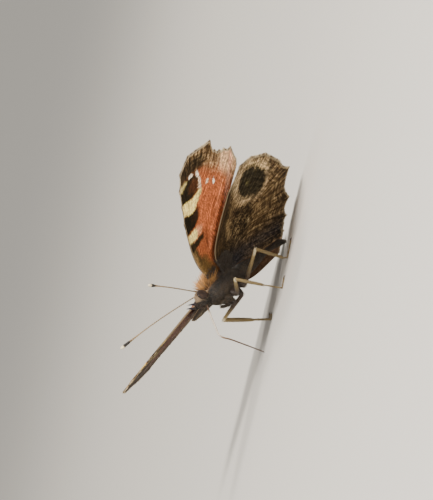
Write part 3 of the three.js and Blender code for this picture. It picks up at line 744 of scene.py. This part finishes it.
for number, (name, (hand, *joints, heel, toe)) in enumerate(LEGS.items()):
    hip, ring, knee, ankle = (place(*joint, hand) for joint in joints)
    heel, toe = on_floor(*heel, hand), on_floor(*toe, hand)
    parts = [leg_joint(hip, ring, *HIP, rings=18), leg_joint(ring, knee, *THIGH)]
    parts.append(leg_joint(knee, ankle, *SHANK))
    foot = [ankle, ankle + (heel - ankle) * ANKLE_RING, heel,
            *(heel + (toe - heel) * share for share in TOE_RINGS), toe]
    parts += [leg_joint(start, end, *FOOT_RING, sides=8, rings=10) for start, end in zip(foot, foot[1:])]
    ahead = (toe - heel) / np.linalg.norm(toe - heel)
    floor_up = place(math.sin(HEAD_UP_ANGLE), 0, math.cos(HEAD_UP_ANGLE))
    aside = np.cross(ahead, floor_up)
    for turn in (-1, 1):
        hook = [toe, *(toe + ahead * out + aside * across * turn + floor_up * up
                       for out, across, up in (CLAW_BEND, CLAW_TIP))]
        bent = through([(*spot, width) for spot, width in zip(hook, CLAW_WIDTHS)], np.linspace(0, 1, 8))
        claw = tube(bent[:, :3], bent[:, 3], bent[:, 3], 6, floor_up)
        claw["share"] = claw["share"] * 0
        parts.append(claw)
    leg = build(name, parts, leg_scales)
    kind, side = name.split("_")
    declare(leg, "leg", f"{kind}_{side[0]}")
    grow_hair(name + "_hair", leg, single_hair, leg_scales, "leg", *LEG_HAIR, seed=30 + number)

for side, hand in HANDS:
    foreleg = build("brush_leg_" + side, [jointed(FORELEG_JOINTS, hand, rings=30, sides=12)], fur)
    declare(foreleg, "leg", "foreleg_" + side[0])
    grow_hair("brush_leg_hair_" + side, foreleg, lock, fur, "leg", *FORELEG_HAIR, seed=40 + hand)

# Wings
# Each wing is a thin double membrane between hollow veins that fan out from the hinge, covered on both
# faces with dust-fine coloured scales. It is drawn in millimetres outward, forward and up from its hinge,
# a curve for each edge and vein. The hindwing's last curves hang down as a fold beside the abdomen.
MEMBRANE_HALF = 0.07
VEIN_RISE = 0.09
VEIN_HALF_WIDTH = 0.17
CELL_SINK = 0.1
WING_ROWS = 64
CELL_COLUMNS = 8
VEIN_RISES_OVER = 0.2
ROWS_CROWD = 1.25
DRAWN_IN_POWER = 6
CELL_STEP = 2.0
FAR = 9
UV_LEFT, UV_BOTTOM, UV_SIZE, RIM_STRIP = (0.02, 0.52), 0.04, (0.46, 0.92), 0.012
TIP_OUT = 28
ROOT_DIP, ROOT_DIP_FORWARD, ROOT_DIP_OUT, ROOT_DIP_BACK = 1.2, -0.65, 2.4, 3.5
NO_VEIN = 9
FOREWING = {
    "root": ((-1.3, 0.2), (-1.3, -1.9)),
    # via points and end of the curve, share at which its vein rises, how far the margin is drawn in
    "curves": [
        ((6.4, 4.3), (12.6, 6.4), 0.1, 0), ((8, 4.45), (14.6, 7.05), 0.12, 0),
        ((10.3, 4.7), (18.5, 7.75), 0.4, 0), ((11.4, 4.65), (22, 8.4), 0.5, -0.1),
        ((12.4, 4.4), (25.3, 8.15), 0.5, -0.3), ((13, 4), (27.4, 5.5), 0.14, -0.1),
        ((13.3, 3.2), (27.3, -0.2), 0.5, 0.8), ((13.1, 2.3), (24.4, -1.7), 0.5, 0.35),
        ((12.4, 1), (22.8, -4), 0.5, 0.3), ((11, 0), (21.4, -6.5), 0.42, 0.3),
        ((8.6, -0.9), (20, -9.1), 0.14, 0.15), ((7.3, -3.7), (16.4, -10.95), 0.14, 0),
        ((6.9, -5.3), (14.6, -10.7), NO_VEIN, 0),
    ],
}
HINDWING = {
    "root": ((-1.3, 0.5), (-1.1, -1.6)),
    "curves": [
        ((3.4, 1.5), (8.1, 0), (13.1, -2.9), NO_VEIN, 0),
        ((3.6, 0.5), (8.4, -1.4), (16.5, -6.8), 0.15, -0.25),
        ((3.4, -0.6), (8.3, -3.2), (16.4, -10.1), 0.15, 0), ((3.1, -1.5), (7.8, -5), (14.6, -14.4), 0.45, 0),
        ((2.6, -2.3), (7, -7), (10.6, -18.6), 0.45, 0.35), ((2, -2.9), (5.6, -8.2), (7.7, -21.4), 0.45, 0.9),
        ((1.3, -3.2), (3.9, -8.2), (1.8, -21.1), 0.3, 0.6),
        ((0.6, -3.3), (2.2, -7.9), (-0.8, -19.4, -0.5), 0.15, 0.2),
        ((0, -3.3), (0.7, -7.5, -0.15), (-1.4, -17.8, -1), 0.15, 0),
        ((-0.1, -3.2, -0.35), (0.2, -7.2, -0.7), (-1.5, -16.7, -1.5), NO_VEIN, 0),
        ((-0.2, -3.1, -0.8), (-0.1, -7, -1.7), (-1.3, -15.8, -2.1), NO_VEIN, 0),
        ((-0.3, -3, -1.2), (-0.2, -6.6, -2.7), (-1.1, -14.5, -2.9), NO_VEIN, 0),
    ],
}
SAG_FROM, SAG_TO, SAG_MIDDLE, SAG_REACH = 12, 25, -0.9, 4.5
# hinge, hand, raise, twist, washout, sweep in degrees, then curl of the tip and sag in millimetres
WINGS = {
    "forewing_left": ((1, 1.8, 2.95), 1, 14.7, -1.8, 0, 0, 0, 1.15),
    "forewing_right": ((0.75, 1.8, 2.5), -1, 16.4, -5.2, 8, 6.4, -0.85, 0),
    "hindwing_left": ((-1.65, 1.95, 1.95), 1, 15.2, 3.5, 0, 0, 0, 0),
    "hindwing_right": ((-1.65, 2.08, 1.5), -1, 17.2, 3, 0, 0, 0, 0),
}


def smooth_step(value, low, high):
    share = np.clip((value - low) / (high - low), 0, 1)
    return share * share * (3 - 2 * share)


def hold(wing, drawn, above):
    """Places drawn on a wing, a grid of them, each raised square to the wing by above, in the body's
    frame."""
    hinge, hand, raised, twist, washout, sweep, curl, sag = wing
    out, forward, up = drawn[..., 0], drawn[..., 1], drawn[..., 2]
    fall = sag * smooth_step(out, SAG_FROM, SAG_TO) * np.exp(-(((forward - SAG_MIDDLE) / SAG_REACH) ** 2))
    from_dip = forward + hinge[0] - ROOT_DIP_FORWARD
    dip = ROOT_DIP * np.exp(-((out / ROOT_DIP_OUT) ** 2) - (from_dip / ROOT_DIP_BACK) ** 2)
    tip = out / TIP_OUT
    height = up + curl * tip**2 + forward * np.tan(np.radians(washout * tip)) - fall - dip
    sheet = np.stack([out, -forward, height], axis=-1)
    square = np.cross(np.gradient(sheet, axis=1), np.gradient(sheet, axis=0))
    square /= np.maximum(np.linalg.norm(square, axis=-1), 1e-9)[..., None]
    sheet += square * above[..., None]
    turn = (Matrix.Rotation(-math.radians(raised), 3, "Y") @ Matrix.Rotation(-math.radians(twist), 3, "X")
            @ Matrix.Rotation(math.radians(sweep), 3, "Z"))
    held = sheet @ np.array(turn).T + place(*hinge)
    held[..., 0] *= hand
    return held


def wing_net(form):
    """The wing's columns by rows: drawn places, (vein height, sink of the membrane between veins), and
    (mm to the nearest vein, mm to the margin, number of the cell and share of the way across it)."""
    rows = 1 - (1 - np.linspace(0, 1, WING_ROWS)) ** ROWS_CROWD
    front, back = (np.array((*corner, 0), float) for corner in form["root"])
    curves = [[*((*point, 0)[:3] for point in curve[:-2]), *curve[-2:]] for curve in form["curves"]]
    count = len(curves)

    def vein(i, shares):
        root = front + (back - front) * i / (count - 1)
        return through([root, *curves[i][:-2]], shares)

    measured = np.linspace(0, 1, 20)
    lengths = [np.linalg.norm(np.diff(vein(i, measured), axis=0), axis=1).sum() for i in range(count)]
    ends = [vein(i, [1])[0] - vein(i, [0.98])[0] for i in range(count)]

    def rise_of(i):
        return smooth_step(rows, curves[i][-2], curves[i][-2] + VEIN_RISES_OVER)

    flats, heights, nets = [], [], []
    for i in range(count - 1):
        shares = 0.5 - 0.5 * np.cos(np.pi * np.arange(CELL_COLUMNS) / CELL_COLUMNS)
        if i == count - 2:
            shares = np.append(shares, 1.0)
        here, there = vein(i, rows), vein(i + 1, rows)
        wide = np.linalg.norm(here - there, axis=1)
        for share in shares:
            drawn_in = curves[i][-1] * math.sin(math.pi * share) * rows**DRAWN_IN_POWER / lengths[i + 1]
            inside = np.clip(rows * (1 - np.maximum(drawn_in, 0)), 0, 1)
            a, b = vein(i, inside), vein(i + 1, inside)
            flat = a + (b - a) * share
            end = ends[i] * (1 - share) + ends[i + 1] * share
            flat += np.minimum(drawn_in, 0)[:, None] * -lengths[i + 1] * end / np.linalg.norm(end)
            near, far = share * wide, (1 - share) * wide
            bump = (rise_of(i) * np.exp(-((near / VEIN_HALF_WIDTH) ** 2))
                    + rise_of(i + 1) * np.exp(-((far / VEIN_HALF_WIDTH) ** 2)))
            length = lengths[i] * (1 - share) + lengths[i + 1] * share
            flats.append(flat)
            sink = -CELL_SINK * math.sin(math.pi * share) * rows
            heights.append(np.stack([bump * VEIN_RISE, sink], axis=1))
            veined = np.minimum(np.where(rise_of(i) > 0.5, near, FAR),
                                np.where(rise_of(i + 1) > 0.5, far, FAR))
            nets.append(np.stack([veined, (1 - rows) * length, (i + share) * CELL_STEP + rows * 0], axis=1))
    return np.array(flats), np.array(heights), np.array(nets)


def wing_piece(name, wing, net, finishes):
    """A wing's upper and lower face, joined round the rim, with their finishes. The upper face has the left
    half of the UV map, the lower face the right, and the rim a thin strip of each."""
    flats, heights, spans = net
    across, along = flats.shape[:2]
    columns, rows = np.meshgrid(np.linspace(0, 1, across), np.linspace(0, 1, along), indexing="ij")
    corners, outward, spots = [], [], []
    for face, patch_left in zip((1, -1), UV_LEFT):
        sheet = hold(wing, flats, face * (MEMBRANE_HALF + heights[..., 0]) + heights[..., 1])
        corners.append(sheet.reshape(-1, 3))
        way = np.gradient(sheet, axis=1).reshape(-1, 3)
        outward.append(way / np.maximum(np.linalg.norm(way, axis=1), 1e-9)[:, None])
        patch = [columns * UV_SIZE[0] + patch_left, rows * UV_SIZE[1] + UV_BOTTOM]
        spots.append(np.stack(patch, -1).reshape(-1, 2))

    def number(face, i, j):
        return face * across * along + i * along + j

    faces, sides = [], []
    for i in range(across - 1):
        for j in range(along - 1):
            faces.append([number(0, i, j), number(0, i + 1, j), number(0, i + 1, j + 1), number(0, i, j + 1)])
            faces.append([number(1, i, j), number(1, i, j + 1), number(1, i + 1, j + 1), number(1, i + 1, j)])
            sides += [0, 1]
    rim_first = len(faces)
    ring = ([(i, 0) for i in range(across - 1)] + [(across - 1, j) for j in range(along - 1)]
            + [(i, along - 1) for i in range(across - 1, 0, -1)] + [(0, j) for j in range(along - 1, 0, -1)])
    for (i, j), (m, n) in zip(ring, ring[1:] + ring[:1]):
        faces.append([number(0, i, j), number(1, i, j), number(1, m, n), number(0, m, n)])
        sides.append(0)
    if wing[1] > 0:
        faces = [face[::-1] for face in faces]
    spots = np.concatenate(spots)
    uvs = [spots[n] + ((0, RIM_STRIP * (k in (1, 2))) if f >= rim_first else (0, 0))
           for f, face in enumerate(faces) for k, n in enumerate(face)]
    held, span = (np.concatenate([grid.reshape(-1, 3)] * 2) for grid in (flats, spans))
    piece = smooth_piece(name, np.concatenate(corners), faces, uvs, finishes, held=held, net=span,
                         lie=np.concatenate(outward), reach=span[:, 1])
    piece.data.polygons.foreach_set("material_index", sides)
    return piece


# A mark on a wing: a colour laid over the ground inside a rounded stroke from one place to another.
mark = Group(
    "wing_mark",
    {"Ground": "Color", "Place": "Vector", "From": "Vector", "Stroke": "Vector", "Start Radius": "Float",
     "End Radius": "Float", "Softness": "Float", "Mark": "Color", "Strength": "Float"},
    {"Colour": "Color"},
)
given = mark.given
from_start = mark.vector("SUBTRACT", given["Place"], given["From"])
here_dot, whole_dot = (mark.vector("DOT_PRODUCT", other, given["Stroke"], output="Value")
                       for other in (from_start, given["Stroke"]))
along_stroke = mark.math("DIVIDE", here_dot, whole_dot)
along_stroke = mark.node("ShaderNodeClamp", i0=along_stroke).outputs[0]
from_stroke = mark.vector("DISTANCE", from_start, mark.scaled(given["Stroke"], along_stroke), output="Value")
radius = mark.between(along_stroke, given["Start Radius"], given["End Radius"])
mask = mark.ramp(from_stroke, mark.math("SUBTRACT", radius, given["Softness"]),
                 mark.math("ADD", radius, given["Softness"]), 1.0, 0.0)
mark.put_out(Colour=mark.blend(mark.product(mask, given["Strength"]), given["Ground"], given["Mark"]))

# An edge on a wing: a colour laid over the ground where a distance is short.
edge = Group(
    "wing_edge",
    {"Ground": "Color", "Distance": "Float", "Full To": "Float", "Gone At": "Float", "Edge": "Color",
     "Strength": "Float"},
    {"Colour": "Color"},
)
given = edge.given
mask = edge.ramp(given["Distance"], given["Full To"], given["Gone At"], given["Strength"], 0.0)
edge.put_out(Colour=edge.blend(mask, given["Ground"], given["Edge"]))

# A wing's scales: streaks run out along the cells between the veins, fine broken lines run across them,
# and single scales are darker or lighter, as is the scaling over the veins. Place is where marks are read:
# they follow single scales, so their edges wander.
scaling = Group(
    "wing_scaling",
    {"Held": "Vector", "Net": "Vector", "Wander": 0.9, "Streak": 0.3, "Vein Shade": 0.8},
    {"Place": "Vector", "Along": "Float", "Across": "Float", "Shade": "Float", "Roughness": "Float",
     "Height": "Float"},
)
given = scaling.given
# how often a streak comes for each millimetre in from the margin, and across the cells
ALONG_CELLS, ACROSS_CELLS, LONG_STREAKS = (0, 0.3, 3.2), (0, 2.6, 0.9), (0, 0.16, 6.0)
straying = scaling.noise(given["Held"], 1.5, 5.0, 0.8, output="Color")
straying = scaling.vector("MULTIPLY_ADD", straying, (2, 2, 0), (-1, -1, 0))


def net_noise(stretch, detail=4.0):
    return scaling.noise(scaling.vector("MULTIPLY", scaling.given["Net"], stretch), 1.0, detail, 0.7)


def streaked(value, low, high, share):
    strength = scaling.product(scaling.given["Streak"], share)
    darker, lighter = (scaling.math(operation, 1.0, strength) for operation in ("SUBTRACT", "ADD"))
    return scaling.ramp(value, low, high, darker, lighter)


along_noise, across_noise = net_noise(ALONG_CELLS), net_noise(ACROSS_CELLS)
long_noise = net_noise(LONG_STREAKS, 2.0)
dust = scaling.noise(given["Held"], 2.6, 4.0, 0.85)
from_vein = scaling.node("ShaderNodeSeparateXYZ", Vector=given["Net"]).outputs["X"]
scaling.put_out(
    Place=scaling.vector("ADD", given["Held"], scaling.scaled(straying, given["Wander"])),
    Along=along_noise, Across=across_noise,
    Shade=scaling.product(
        streaked(along_noise, 0.4, 0.6, 1.0), streaked(across_noise, 0.4, 0.6, 1.0),
        streaked(long_noise, 0.38, 0.62, 0.7), scaling.ramp(dust, 0.38, 0.62, 0.72, 1.3),
        scaling.ramp(from_vein, 0.05, 0.3, given["Vein Shade"], 1.0),
    ),
    Roughness=scaling.ramp(dust, 0.3, 0.7, 0.7, 0.95),
    Height=scaling.math("ADD", scaling.cells(given["Held"], 9.0, 0.8), along_noise),
)

# Pale flecks over the underside, in patches and as broken lines: their Outward share runs out along the
# cells and the others run across. They thin out as far in from the margin as Reach.
flecks = Group(
    "wing_flecks",
    {"Ground": "Color", "Held": "Vector", "Along": "Float", "Across": "Float", "To Margin": "Float",
     "Fleck": "Color", "Strength": "Float", "Reach": "Float", "Outward": "Float"},
    {"Colour": "Color"},
)
given = flecks.given
in_patch = flecks.ramp(flecks.noise(given["Held"], 0.5), 0.38, 0.6, 0.3, 1.0)
in_reach = flecks.ramp(given["To Margin"], flecks.product(given["Reach"], 0.3), given["Reach"], 1.0, 0.0)
broken = flecks.between(given["Outward"], given["Across"], given["Along"])
mask = flecks.product(flecks.ramp(broken, 0.48, 0.58, 0.0, given["Strength"]), in_patch, in_reach)
flecks.put_out(Colour=flecks.blend(mask, given["Ground"], given["Fleck"]))

WING_GLOSS = 0.07
LEAST_STROKE = 1e-3
# the rim's colour along the margin and along the front edge (on the undersides, a painted rim highlight on
# the front edge): full to, gone at, strength
MARGIN_RIM, FRONT_RIM = (0.05, 0.3, 0.8), (0.05, 0.35, 0.7)
HERE_FLECKS = "flecks"


def wing_scales(name, ground, marks, margin, rim, streak, vein_shade, wander=0.9, fleck=None, painted_shade=None):
    """The scales of one face of a wing: ground colour, band at the margin, marks in order, streaks, rims.
    A mark is (from, to, start radius, end radius, softness, colour, strength), in millimetres, and
    HERE_FLECKS among them is where the pale flecks are laid. Fleck is (colour, strength, how far in from
    the margin, share of them that runs outward), and painted_shade the colour and strength of a painted
    shade laid over the whole face, for a face that lies in shade."""
    scales = Finish(name, ground, 0.85, Specular_IOR_Level=WING_GLOSS)
    held, net = scales.read("held"), scales.read("net")
    span = scales.node("ShaderNodeSeparateXYZ", Vector=net).outputs
    made = scales.placed(scaling, Held=held, Net=net, Wander=wander, Streak=streak, Vein_Shade=vein_shade)

    def edged(under, distance, tint, full_to, gone_at, strength):
        return scales.placed(edge, Ground=under, Distance=distance, Full_To=full_to, Gone_At=gone_at,
                             Edge=colour(*tint), Strength=strength)[0]

    width, softness, tint, strength = margin
    now = edged(colour(*ground), span["Y"], tint, width - softness, width + softness, strength)
    for laid in marks:
        if laid == HERE_FLECKS:
            tint, strength, reach, outward = fleck
            now = scales.placed(flecks, Ground=now, Held=held, Along=made["Along"], Across=made["Across"],
                                To_Margin=span["Y"], Fleck=colour(*tint), Strength=strength, Reach=reach,
                                Outward=outward)[0]
            continue
        start, end, start_radius, end_radius, softness, tint, strength = laid
        stroke = (end[0] - start[0] + LEAST_STROKE, end[1] - start[1], 0)
        now = scales.placed(mark, Ground=now, Place=made["Place"], From=(*start, 0), Stroke=stroke,
                            Start_Radius=start_radius, End_Radius=end_radius, Softness=softness,
                            Mark=colour(*tint), Strength=strength)[0]
    now = scales.scaled(now, made["Shade"])
    # on a face that lies in shade, a painted shade laid evenly over all its colours
    if painted_shade:
        now = scales.blend(painted_shade[1], now, colour(*painted_shade[0]))
    now = edged(now, span["Y"], rim, *MARGIN_RIM)
    now = edged(now, span["Z"], rim, *FRONT_RIM)
    scales.cover(now, made["Roughness"], made["Height"], 0.45, 0.06 * MM)
    return scales


CREAM = (255, 231, 142)
DOT = (255, 242, 222)
FOREWING_UNDER_MARKS = [
    ((4.2, 0.4), (8.4, 0.4), 2.0, 1.5, 1.1, (150, 84, 52), 0.8),
    # a brighter rust stroke across the middle of the wing: painted glow of light shining through it
    ((13.5, -5.2), (5.5, -1.6), 1.0, 0.8, 1.2, (224, 134, 92), 0.65),
    ((1.6, -2.4), (5.2, -3.1), 1.2, 0.6, 0.7, (92, 62, 42), 0.9),
    ((-2, -0.4), (2.6, 1.4), 2.8, 2.0, 1.0, (92, 70, 40), 1.0),
    ((4.0, 3.0), (9.6, 5.6), 1.5, 1.2, 0.5, (76, 60, 36), 1.0),
    ((-0.5, 0.9), (7.6, 4.6), 0.6, 0.35, 0.5, (158, 126, 82), 0.7),
    ((25.4, 0), (22.4, -4.4), 3.1, 2.6, 1.8, (104, 80, 56), 0.95),
    # pale along the hind edge toward the tornus, beside the hindwing: painted light
    ((20.3, -6.6), (15.4, -10.6), 2.3, 1.9, 1.5, (226, 184, 144), 0.95),
    ((26.6, 7), (26.6, 0.8), 3.2, 2.3, 0.8, (84, 64, 42), 1.0),
    # a pale pink stroke along the hind edge under the hindwing's front edge: painted light against the shade
    # between the two wings
    ((19.4, -9.3), (9.6, -6.6), 0.8, 0.6, 0.5, (232, 172, 142), 0.75),
    HERE_FLECKS,
    ((24.8, 7.8), (25.0, 3.0), 1.8, 1.5, 0.8, (42, 33, 20), 0.9),
    ((20.8, 7.8), (21.0, 5.0), 2.6, 2.4, 0.5, (36, 29, 17), 1.0),
    ((20.9, 4.3), (20.6, 3.8), 1.3, 1.2, 0.9, (84, 50, 30), 0.8),
    ((13.9, 7.2), (13.9, 4.4), 2.4, 1.9, 0.4, (30, 24, 13), 1.0),
    ((14.3, 3.5), (15.2, 3.0), 1.3, 0.8, 0.7, (48, 32, 20), 0.9),
    ((8.3, 5.2), (8.7, 1.4), 1.2, 0.7, 0.45, (44, 34, 19), 1.0),
    ((5.4, -0.3), (8.8, -0.1), 0.15, 0.25, 0.3, (104, 56, 36), 0.7),
    ((10.6, 3.6), (10.5, 2.2), 1.15, 0.8, 0.7, (226, 160, 118), 0.9),
    ((10.8, 6.4), (10.6, 4.0), 0.8, 1.15, 0.3, CREAM, 1.0),
    ((17.9, 8.2), (17.0, 4.7), 1.15, 1.45, 0.3, CREAM, 1.0),
    ((17.0, 4.4), (18.6, 2.6), 1.4, 0.65, 0.3, CREAM, 1.0),
    ((22.3, 7.9), (22.6, 6.8), 0.65, 0.4, 0.4, (208, 188, 122), 0.9),
    ((23.3, 5.3), (23.2, 4.9), 0.36, 0.36, 0.15, DOT, 1.0),
    ((22.3, 3.2), (23.3, 3.45), 0.22, 0.24, 0.15, DOT, 1.0),
    ((19.7, 2.55), (21.7, 2.7), 0.36, 0.3, 0.15, (246, 214, 184), 1.0),
    ((19.4, 0.4), (19.9, 0.5), 0.31, 0.31, 0.15, (250, 216, 184), 1.0),
    ((17.5, -2.3), (18.6, -1.8), 0.31, 0.31, 0.15, DOT, 1.0),
]
# the forewing underside's rust ground: a little of it is the underside's own rust, most is a painted glow of
# light shining through the wing
UNDER_RUST_GLOW = (182, 101, 63)
UNDER_BAND = (1.6, 1.2, (100, 78, 54), 0.6)
# the forewing underside's pale rim along the margin, and a painted rim highlight along the front edge
PALE_RIM = (196, 182, 156)
UNDER_FLECK = ((216, 182, 136), 0.62, 6.0, 0.75)
FOREWING_UNDER = wing_scales("forewing_under", UNDER_RUST_GLOW, FOREWING_UNDER_MARKS, UNDER_BAND, PALE_RIM,
                             streak=0.33, vein_shade=0.76, fleck=UNDER_FLECK)
# the undersides of the far wings are the same scales with a painted shade laid over them, darker and browner
FAR_FOREWING_UNDER_SHADED = wing_scales("far_forewing_under", UNDER_RUST_GLOW, FOREWING_UNDER_MARKS, UNDER_BAND, PALE_RIM,
                                 streak=0.26, vein_shade=0.7, fleck=UNDER_FLECK, painted_shade=((64, 56, 52), 0.86))
HINDWING_UNDER_MARKS = [
    ((1, 0), (4, -6), 2.8, 2.4, 1.8, (40, 32, 23), 0.92),
    ((6, -5.6), (6.4, -8), 3.0, 2.2, 1.4, (46, 36, 24), 0.9),
    HERE_FLECKS,
    # a painted blue-black shadow of the body over the inner part of the wing, toward the abdomen
    ((-1.5, -3), (-2.6, -15), 3.2, 3.0, 1.8, (33, 34, 40), 0.9),
    ((4, 0.3), (13.4, -3.2), 2.4, 1.2, 0.8, (48, 37, 24), 0.9),
    ((5, -2.7), (7.8, -2.5), 0.55, 0.45, 0.45, (118, 98, 70), 0.9),
    ((4.6, -8.7), (4.9, -8.6), 0.35, 0.3, 0.3, (156, 136, 102), 0.9),
    # the tan ring round the eyespot: painted glow of the upper side's pale ring, with light shining through
    # the wing
    ((12.5, -8.6), (11.1, -11.9), 3.95, 3.6, 0.7, (156, 134, 102), 0.92),
    ((8.6, -4.6), (6.6, -9.2), 0.5, 0.4, 0.5, (46, 35, 23), 0.9),
    ((13.4, -4.8), (15.8, -6.4), 0.8, 0.5, 0.7, (150, 132, 102), 0.6),
    ((15.4, -9.4), (12.4, -14.2), 0.6, 0.5, 0.6, (196, 170, 126), 0.8),
    ((12.3, -8.8), (10.6, -11.7), 2.85, 2.5, 0.6, (46, 40, 28), 1.0),
    ((12.1, -8.8), (12.3, -8.7), 0.4, 0.4, 0.4, (84, 78, 48), 0.7),
    ((13.2, -11.3), (13, -11.6), 0.3, 0.3, 0.4, (70, 62, 40), 0.7),
]
HINDWING_GROUND = (96, 77, 53)
HINDWING_BAND = (1.5, 0.9, (66, 51, 36), 0.65)
# the hindwing underside's pale rim along the margin, and a painted rim highlight along the front edge
HINDWING_RIM = (150, 136, 110)
HINDWING_FLECK = ((164, 140, 102), 0.36, 24, 0.6)
HINDWING_UNDER = wing_scales("hindwing_under", HINDWING_GROUND, HINDWING_UNDER_MARKS, HINDWING_BAND,
                             HINDWING_RIM, streak=0.45, vein_shade=0.8, wander=1.5, fleck=HINDWING_FLECK)
# the far hindwing's underside also gets a painted shade, and a darker rim to match it
FAR_HINDWING_UNDER_SHADED = wing_scales("far_hindwing_under", HINDWING_GROUND, HINDWING_UNDER_MARKS, HINDWING_BAND,
                                 (70, 56, 44), streak=0.36, vein_shade=0.8, wander=1.5, fleck=HINDWING_FLECK,
                                 painted_shade=((48, 38, 31), 0.7))
RUST = (144, 44, 24)
BLACK = (24, 18, 17)
YELLOW = (232, 196, 108)
BLUE = (112, 126, 190)
FOREWING_UPPER = wing_scales(
    "forewing_upper", RUST,
    [
        ((-2, -0.4), (2.4, 0.6), 2.8, 1.8, 1.2, (74, 48, 28), 1.0),
        ((1.6, -2.6), (6.0, -4.4), 1.2, 0.8, 0.9, (96, 54, 34), 0.9),
        ((3, 3.2), (9.4, 5.7), 0.8, 0.7, 0.3, (66, 52, 36), 1.0),
        ((8.3, 5.2), (8.7, 2.2), 1.2, 0.9, 0.25, BLACK, 1.0),
        ((10.8, 6.4), (10.7, 4.8), 0.8, 1.0, 0.3, YELLOW, 1.0),
        ((13.9, 7.2), (14.0, 4.0), 2.4, 2.0, 0.3, BLACK, 1.0),
        ((21.9, 5.4), (21.5, 3.0), 3.3, 3.0, 0.4, (206, 160, 92), 1.0),
        ((21.3, 5.6), (20.6, 3.6), 2.7, 2.4, 0.4, BLACK, 1.0),
        ((20.4, 5.2), (20.0, 4.0), 1.4, 1.3, 0.7, (108, 32, 24), 0.9),
        ((22.6, 6.2), (22.4, 3.4), 0.9, 0.8, 0.6, BLUE, 0.95),
        ((17.9, 8.2), (17.3, 5.2), 1.15, 1.2, 0.3, YELLOW, 1.0),
        ((17.2, 4.6), (18.0, 3.2), 1.0, 0.5, 0.3, YELLOW, 1.0),
        ((22.3, 7.9), (22.6, 7.2), 0.5, 0.35, 0.3, (236, 222, 190), 0.9),
        ((23.4, 2.4), (23.6, 2.2), 0.3, 0.3, 0.2, (222, 220, 240), 1.0),
        ((22.2, 0.4), (22.4, 0.4), 0.3, 0.3, 0.2, (222, 220, 240), 1.0),
        ((20.3, -1.6), (20.5, -1.6), 0.32, 0.3, 0.2, (214, 210, 236), 1.0),
        ((18.9, -3.6), (19.1, -3.6), 0.32, 0.3, 0.2, (214, 210, 236), 1.0),
    ],
    margin=(1.7, 0.4, (70, 55, 44), 1.0), rim=(150, 130, 104), streak=0.1, vein_shade=0.7,
)
HINDWING_UPPER = wing_scales(
    "hindwing_upper", (134, 44, 26),
    [
        ((-1.0, -2), (-1.2, -15), 4.6, 4.4, 1.8, (86, 64, 48), 1.0),
        ((2, 0.6), (13, -1.8), 2.6, 1.6, 0.8, (92, 76, 62), 1.0),
        ((0, -1), (3, -4), 2.2, 1.6, 1.2, (70, 48, 32), 0.9),
        ((12.2, -9.0), (10.8, -11.6), 4.0, 3.8, 0.35, (196, 178, 146), 1.0),
        ((12.1, -9.1), (10.8, -11.4), 3.2, 3.0, 0.35, BLACK, 1.0),
        ((12.6, -8.4), (12.0, -9.6), 1.2, 1.1, 0.5, BLUE, 0.95),
        ((10.4, -11.2), (10.2, -12.0), 0.9, 0.8, 0.5, BLUE, 0.8),
        ((8.6, -8.0), (7.4, -12.6), 0.7, 0.6, 0.4, BLACK, 0.9),
    ],
    margin=(2.6, 0.5, (84, 68, 54), 1.0), rim=(140, 120, 96), streak=0.12, vein_shade=0.75,
)
FRINGE_SHADES = ((0.42, (112, 92, 68)), (0.6, (214, 196, 160)))
fringe_hair = Finish("fringe_hair", (120, 100, 76), 0.8)
fringe_place = fringe_hair.read("held")
fringe_colour = fringe_hair.shades(fringe_hair.noise(fringe_place, 0.9, 3.0), *FRINGE_SHADES)
fringe_hair.cover_grained(fringe_colour, fringe_place, 0.3, 0.03 * MM, Along=fringe_hair.read("along", "Fac"),
                          Scale=0.9, Detail=3.0, At_Root=0.75, At_Tip=1.3, Smoothest=0.65, Roughest=0.9)

WING_FACES = {
    "forewing_left": (FOREWING_UPPER, FOREWING_UNDER), "forewing_right": (FOREWING_UPPER, FAR_FOREWING_UNDER_SHADED),
    "hindwing_left": (HINDWING_UPPER, HINDWING_UNDER), "hindwing_right": (HINDWING_UPPER, FAR_HINDWING_UNDER_SHADED),
}
# the fringe grows on the rim's faces, and longer hair on the faces close to the hinge
FRINGE = (420, 0.34, 0.0, 0.3, (-1, 0.02))
BASE_HAIR = {"forewing": (40, 0.8, 0.15, 0.4, (-1, 1.3)), "hindwing": (40, 1.1, 0.15, 0.45, (-1, 2.6))}
nets = {"forewing": wing_net(FOREWING), "hindwing": wing_net(HINDWING)}
for number, (name, wing) in enumerate(WINGS.items()):
    kind, side = name.split("_")
    piece = wing_piece(name, wing, nets[kind], WING_FACES[name])
    declare(piece, kind, f"{kind}_{side[0]}")
    grow_hair(name + "_fringe", piece, single_hair, fringe_hair, kind, *FRINGE, seed=50 + number)
    grow_tuft(name + "_base_hair", piece, "held", (0, 0, 0), lock, fur, kind, *BASE_HAIR[kind], 60 + number)

for shape in (lock, single_hair):
    bpy.data.objects.remove(shape)
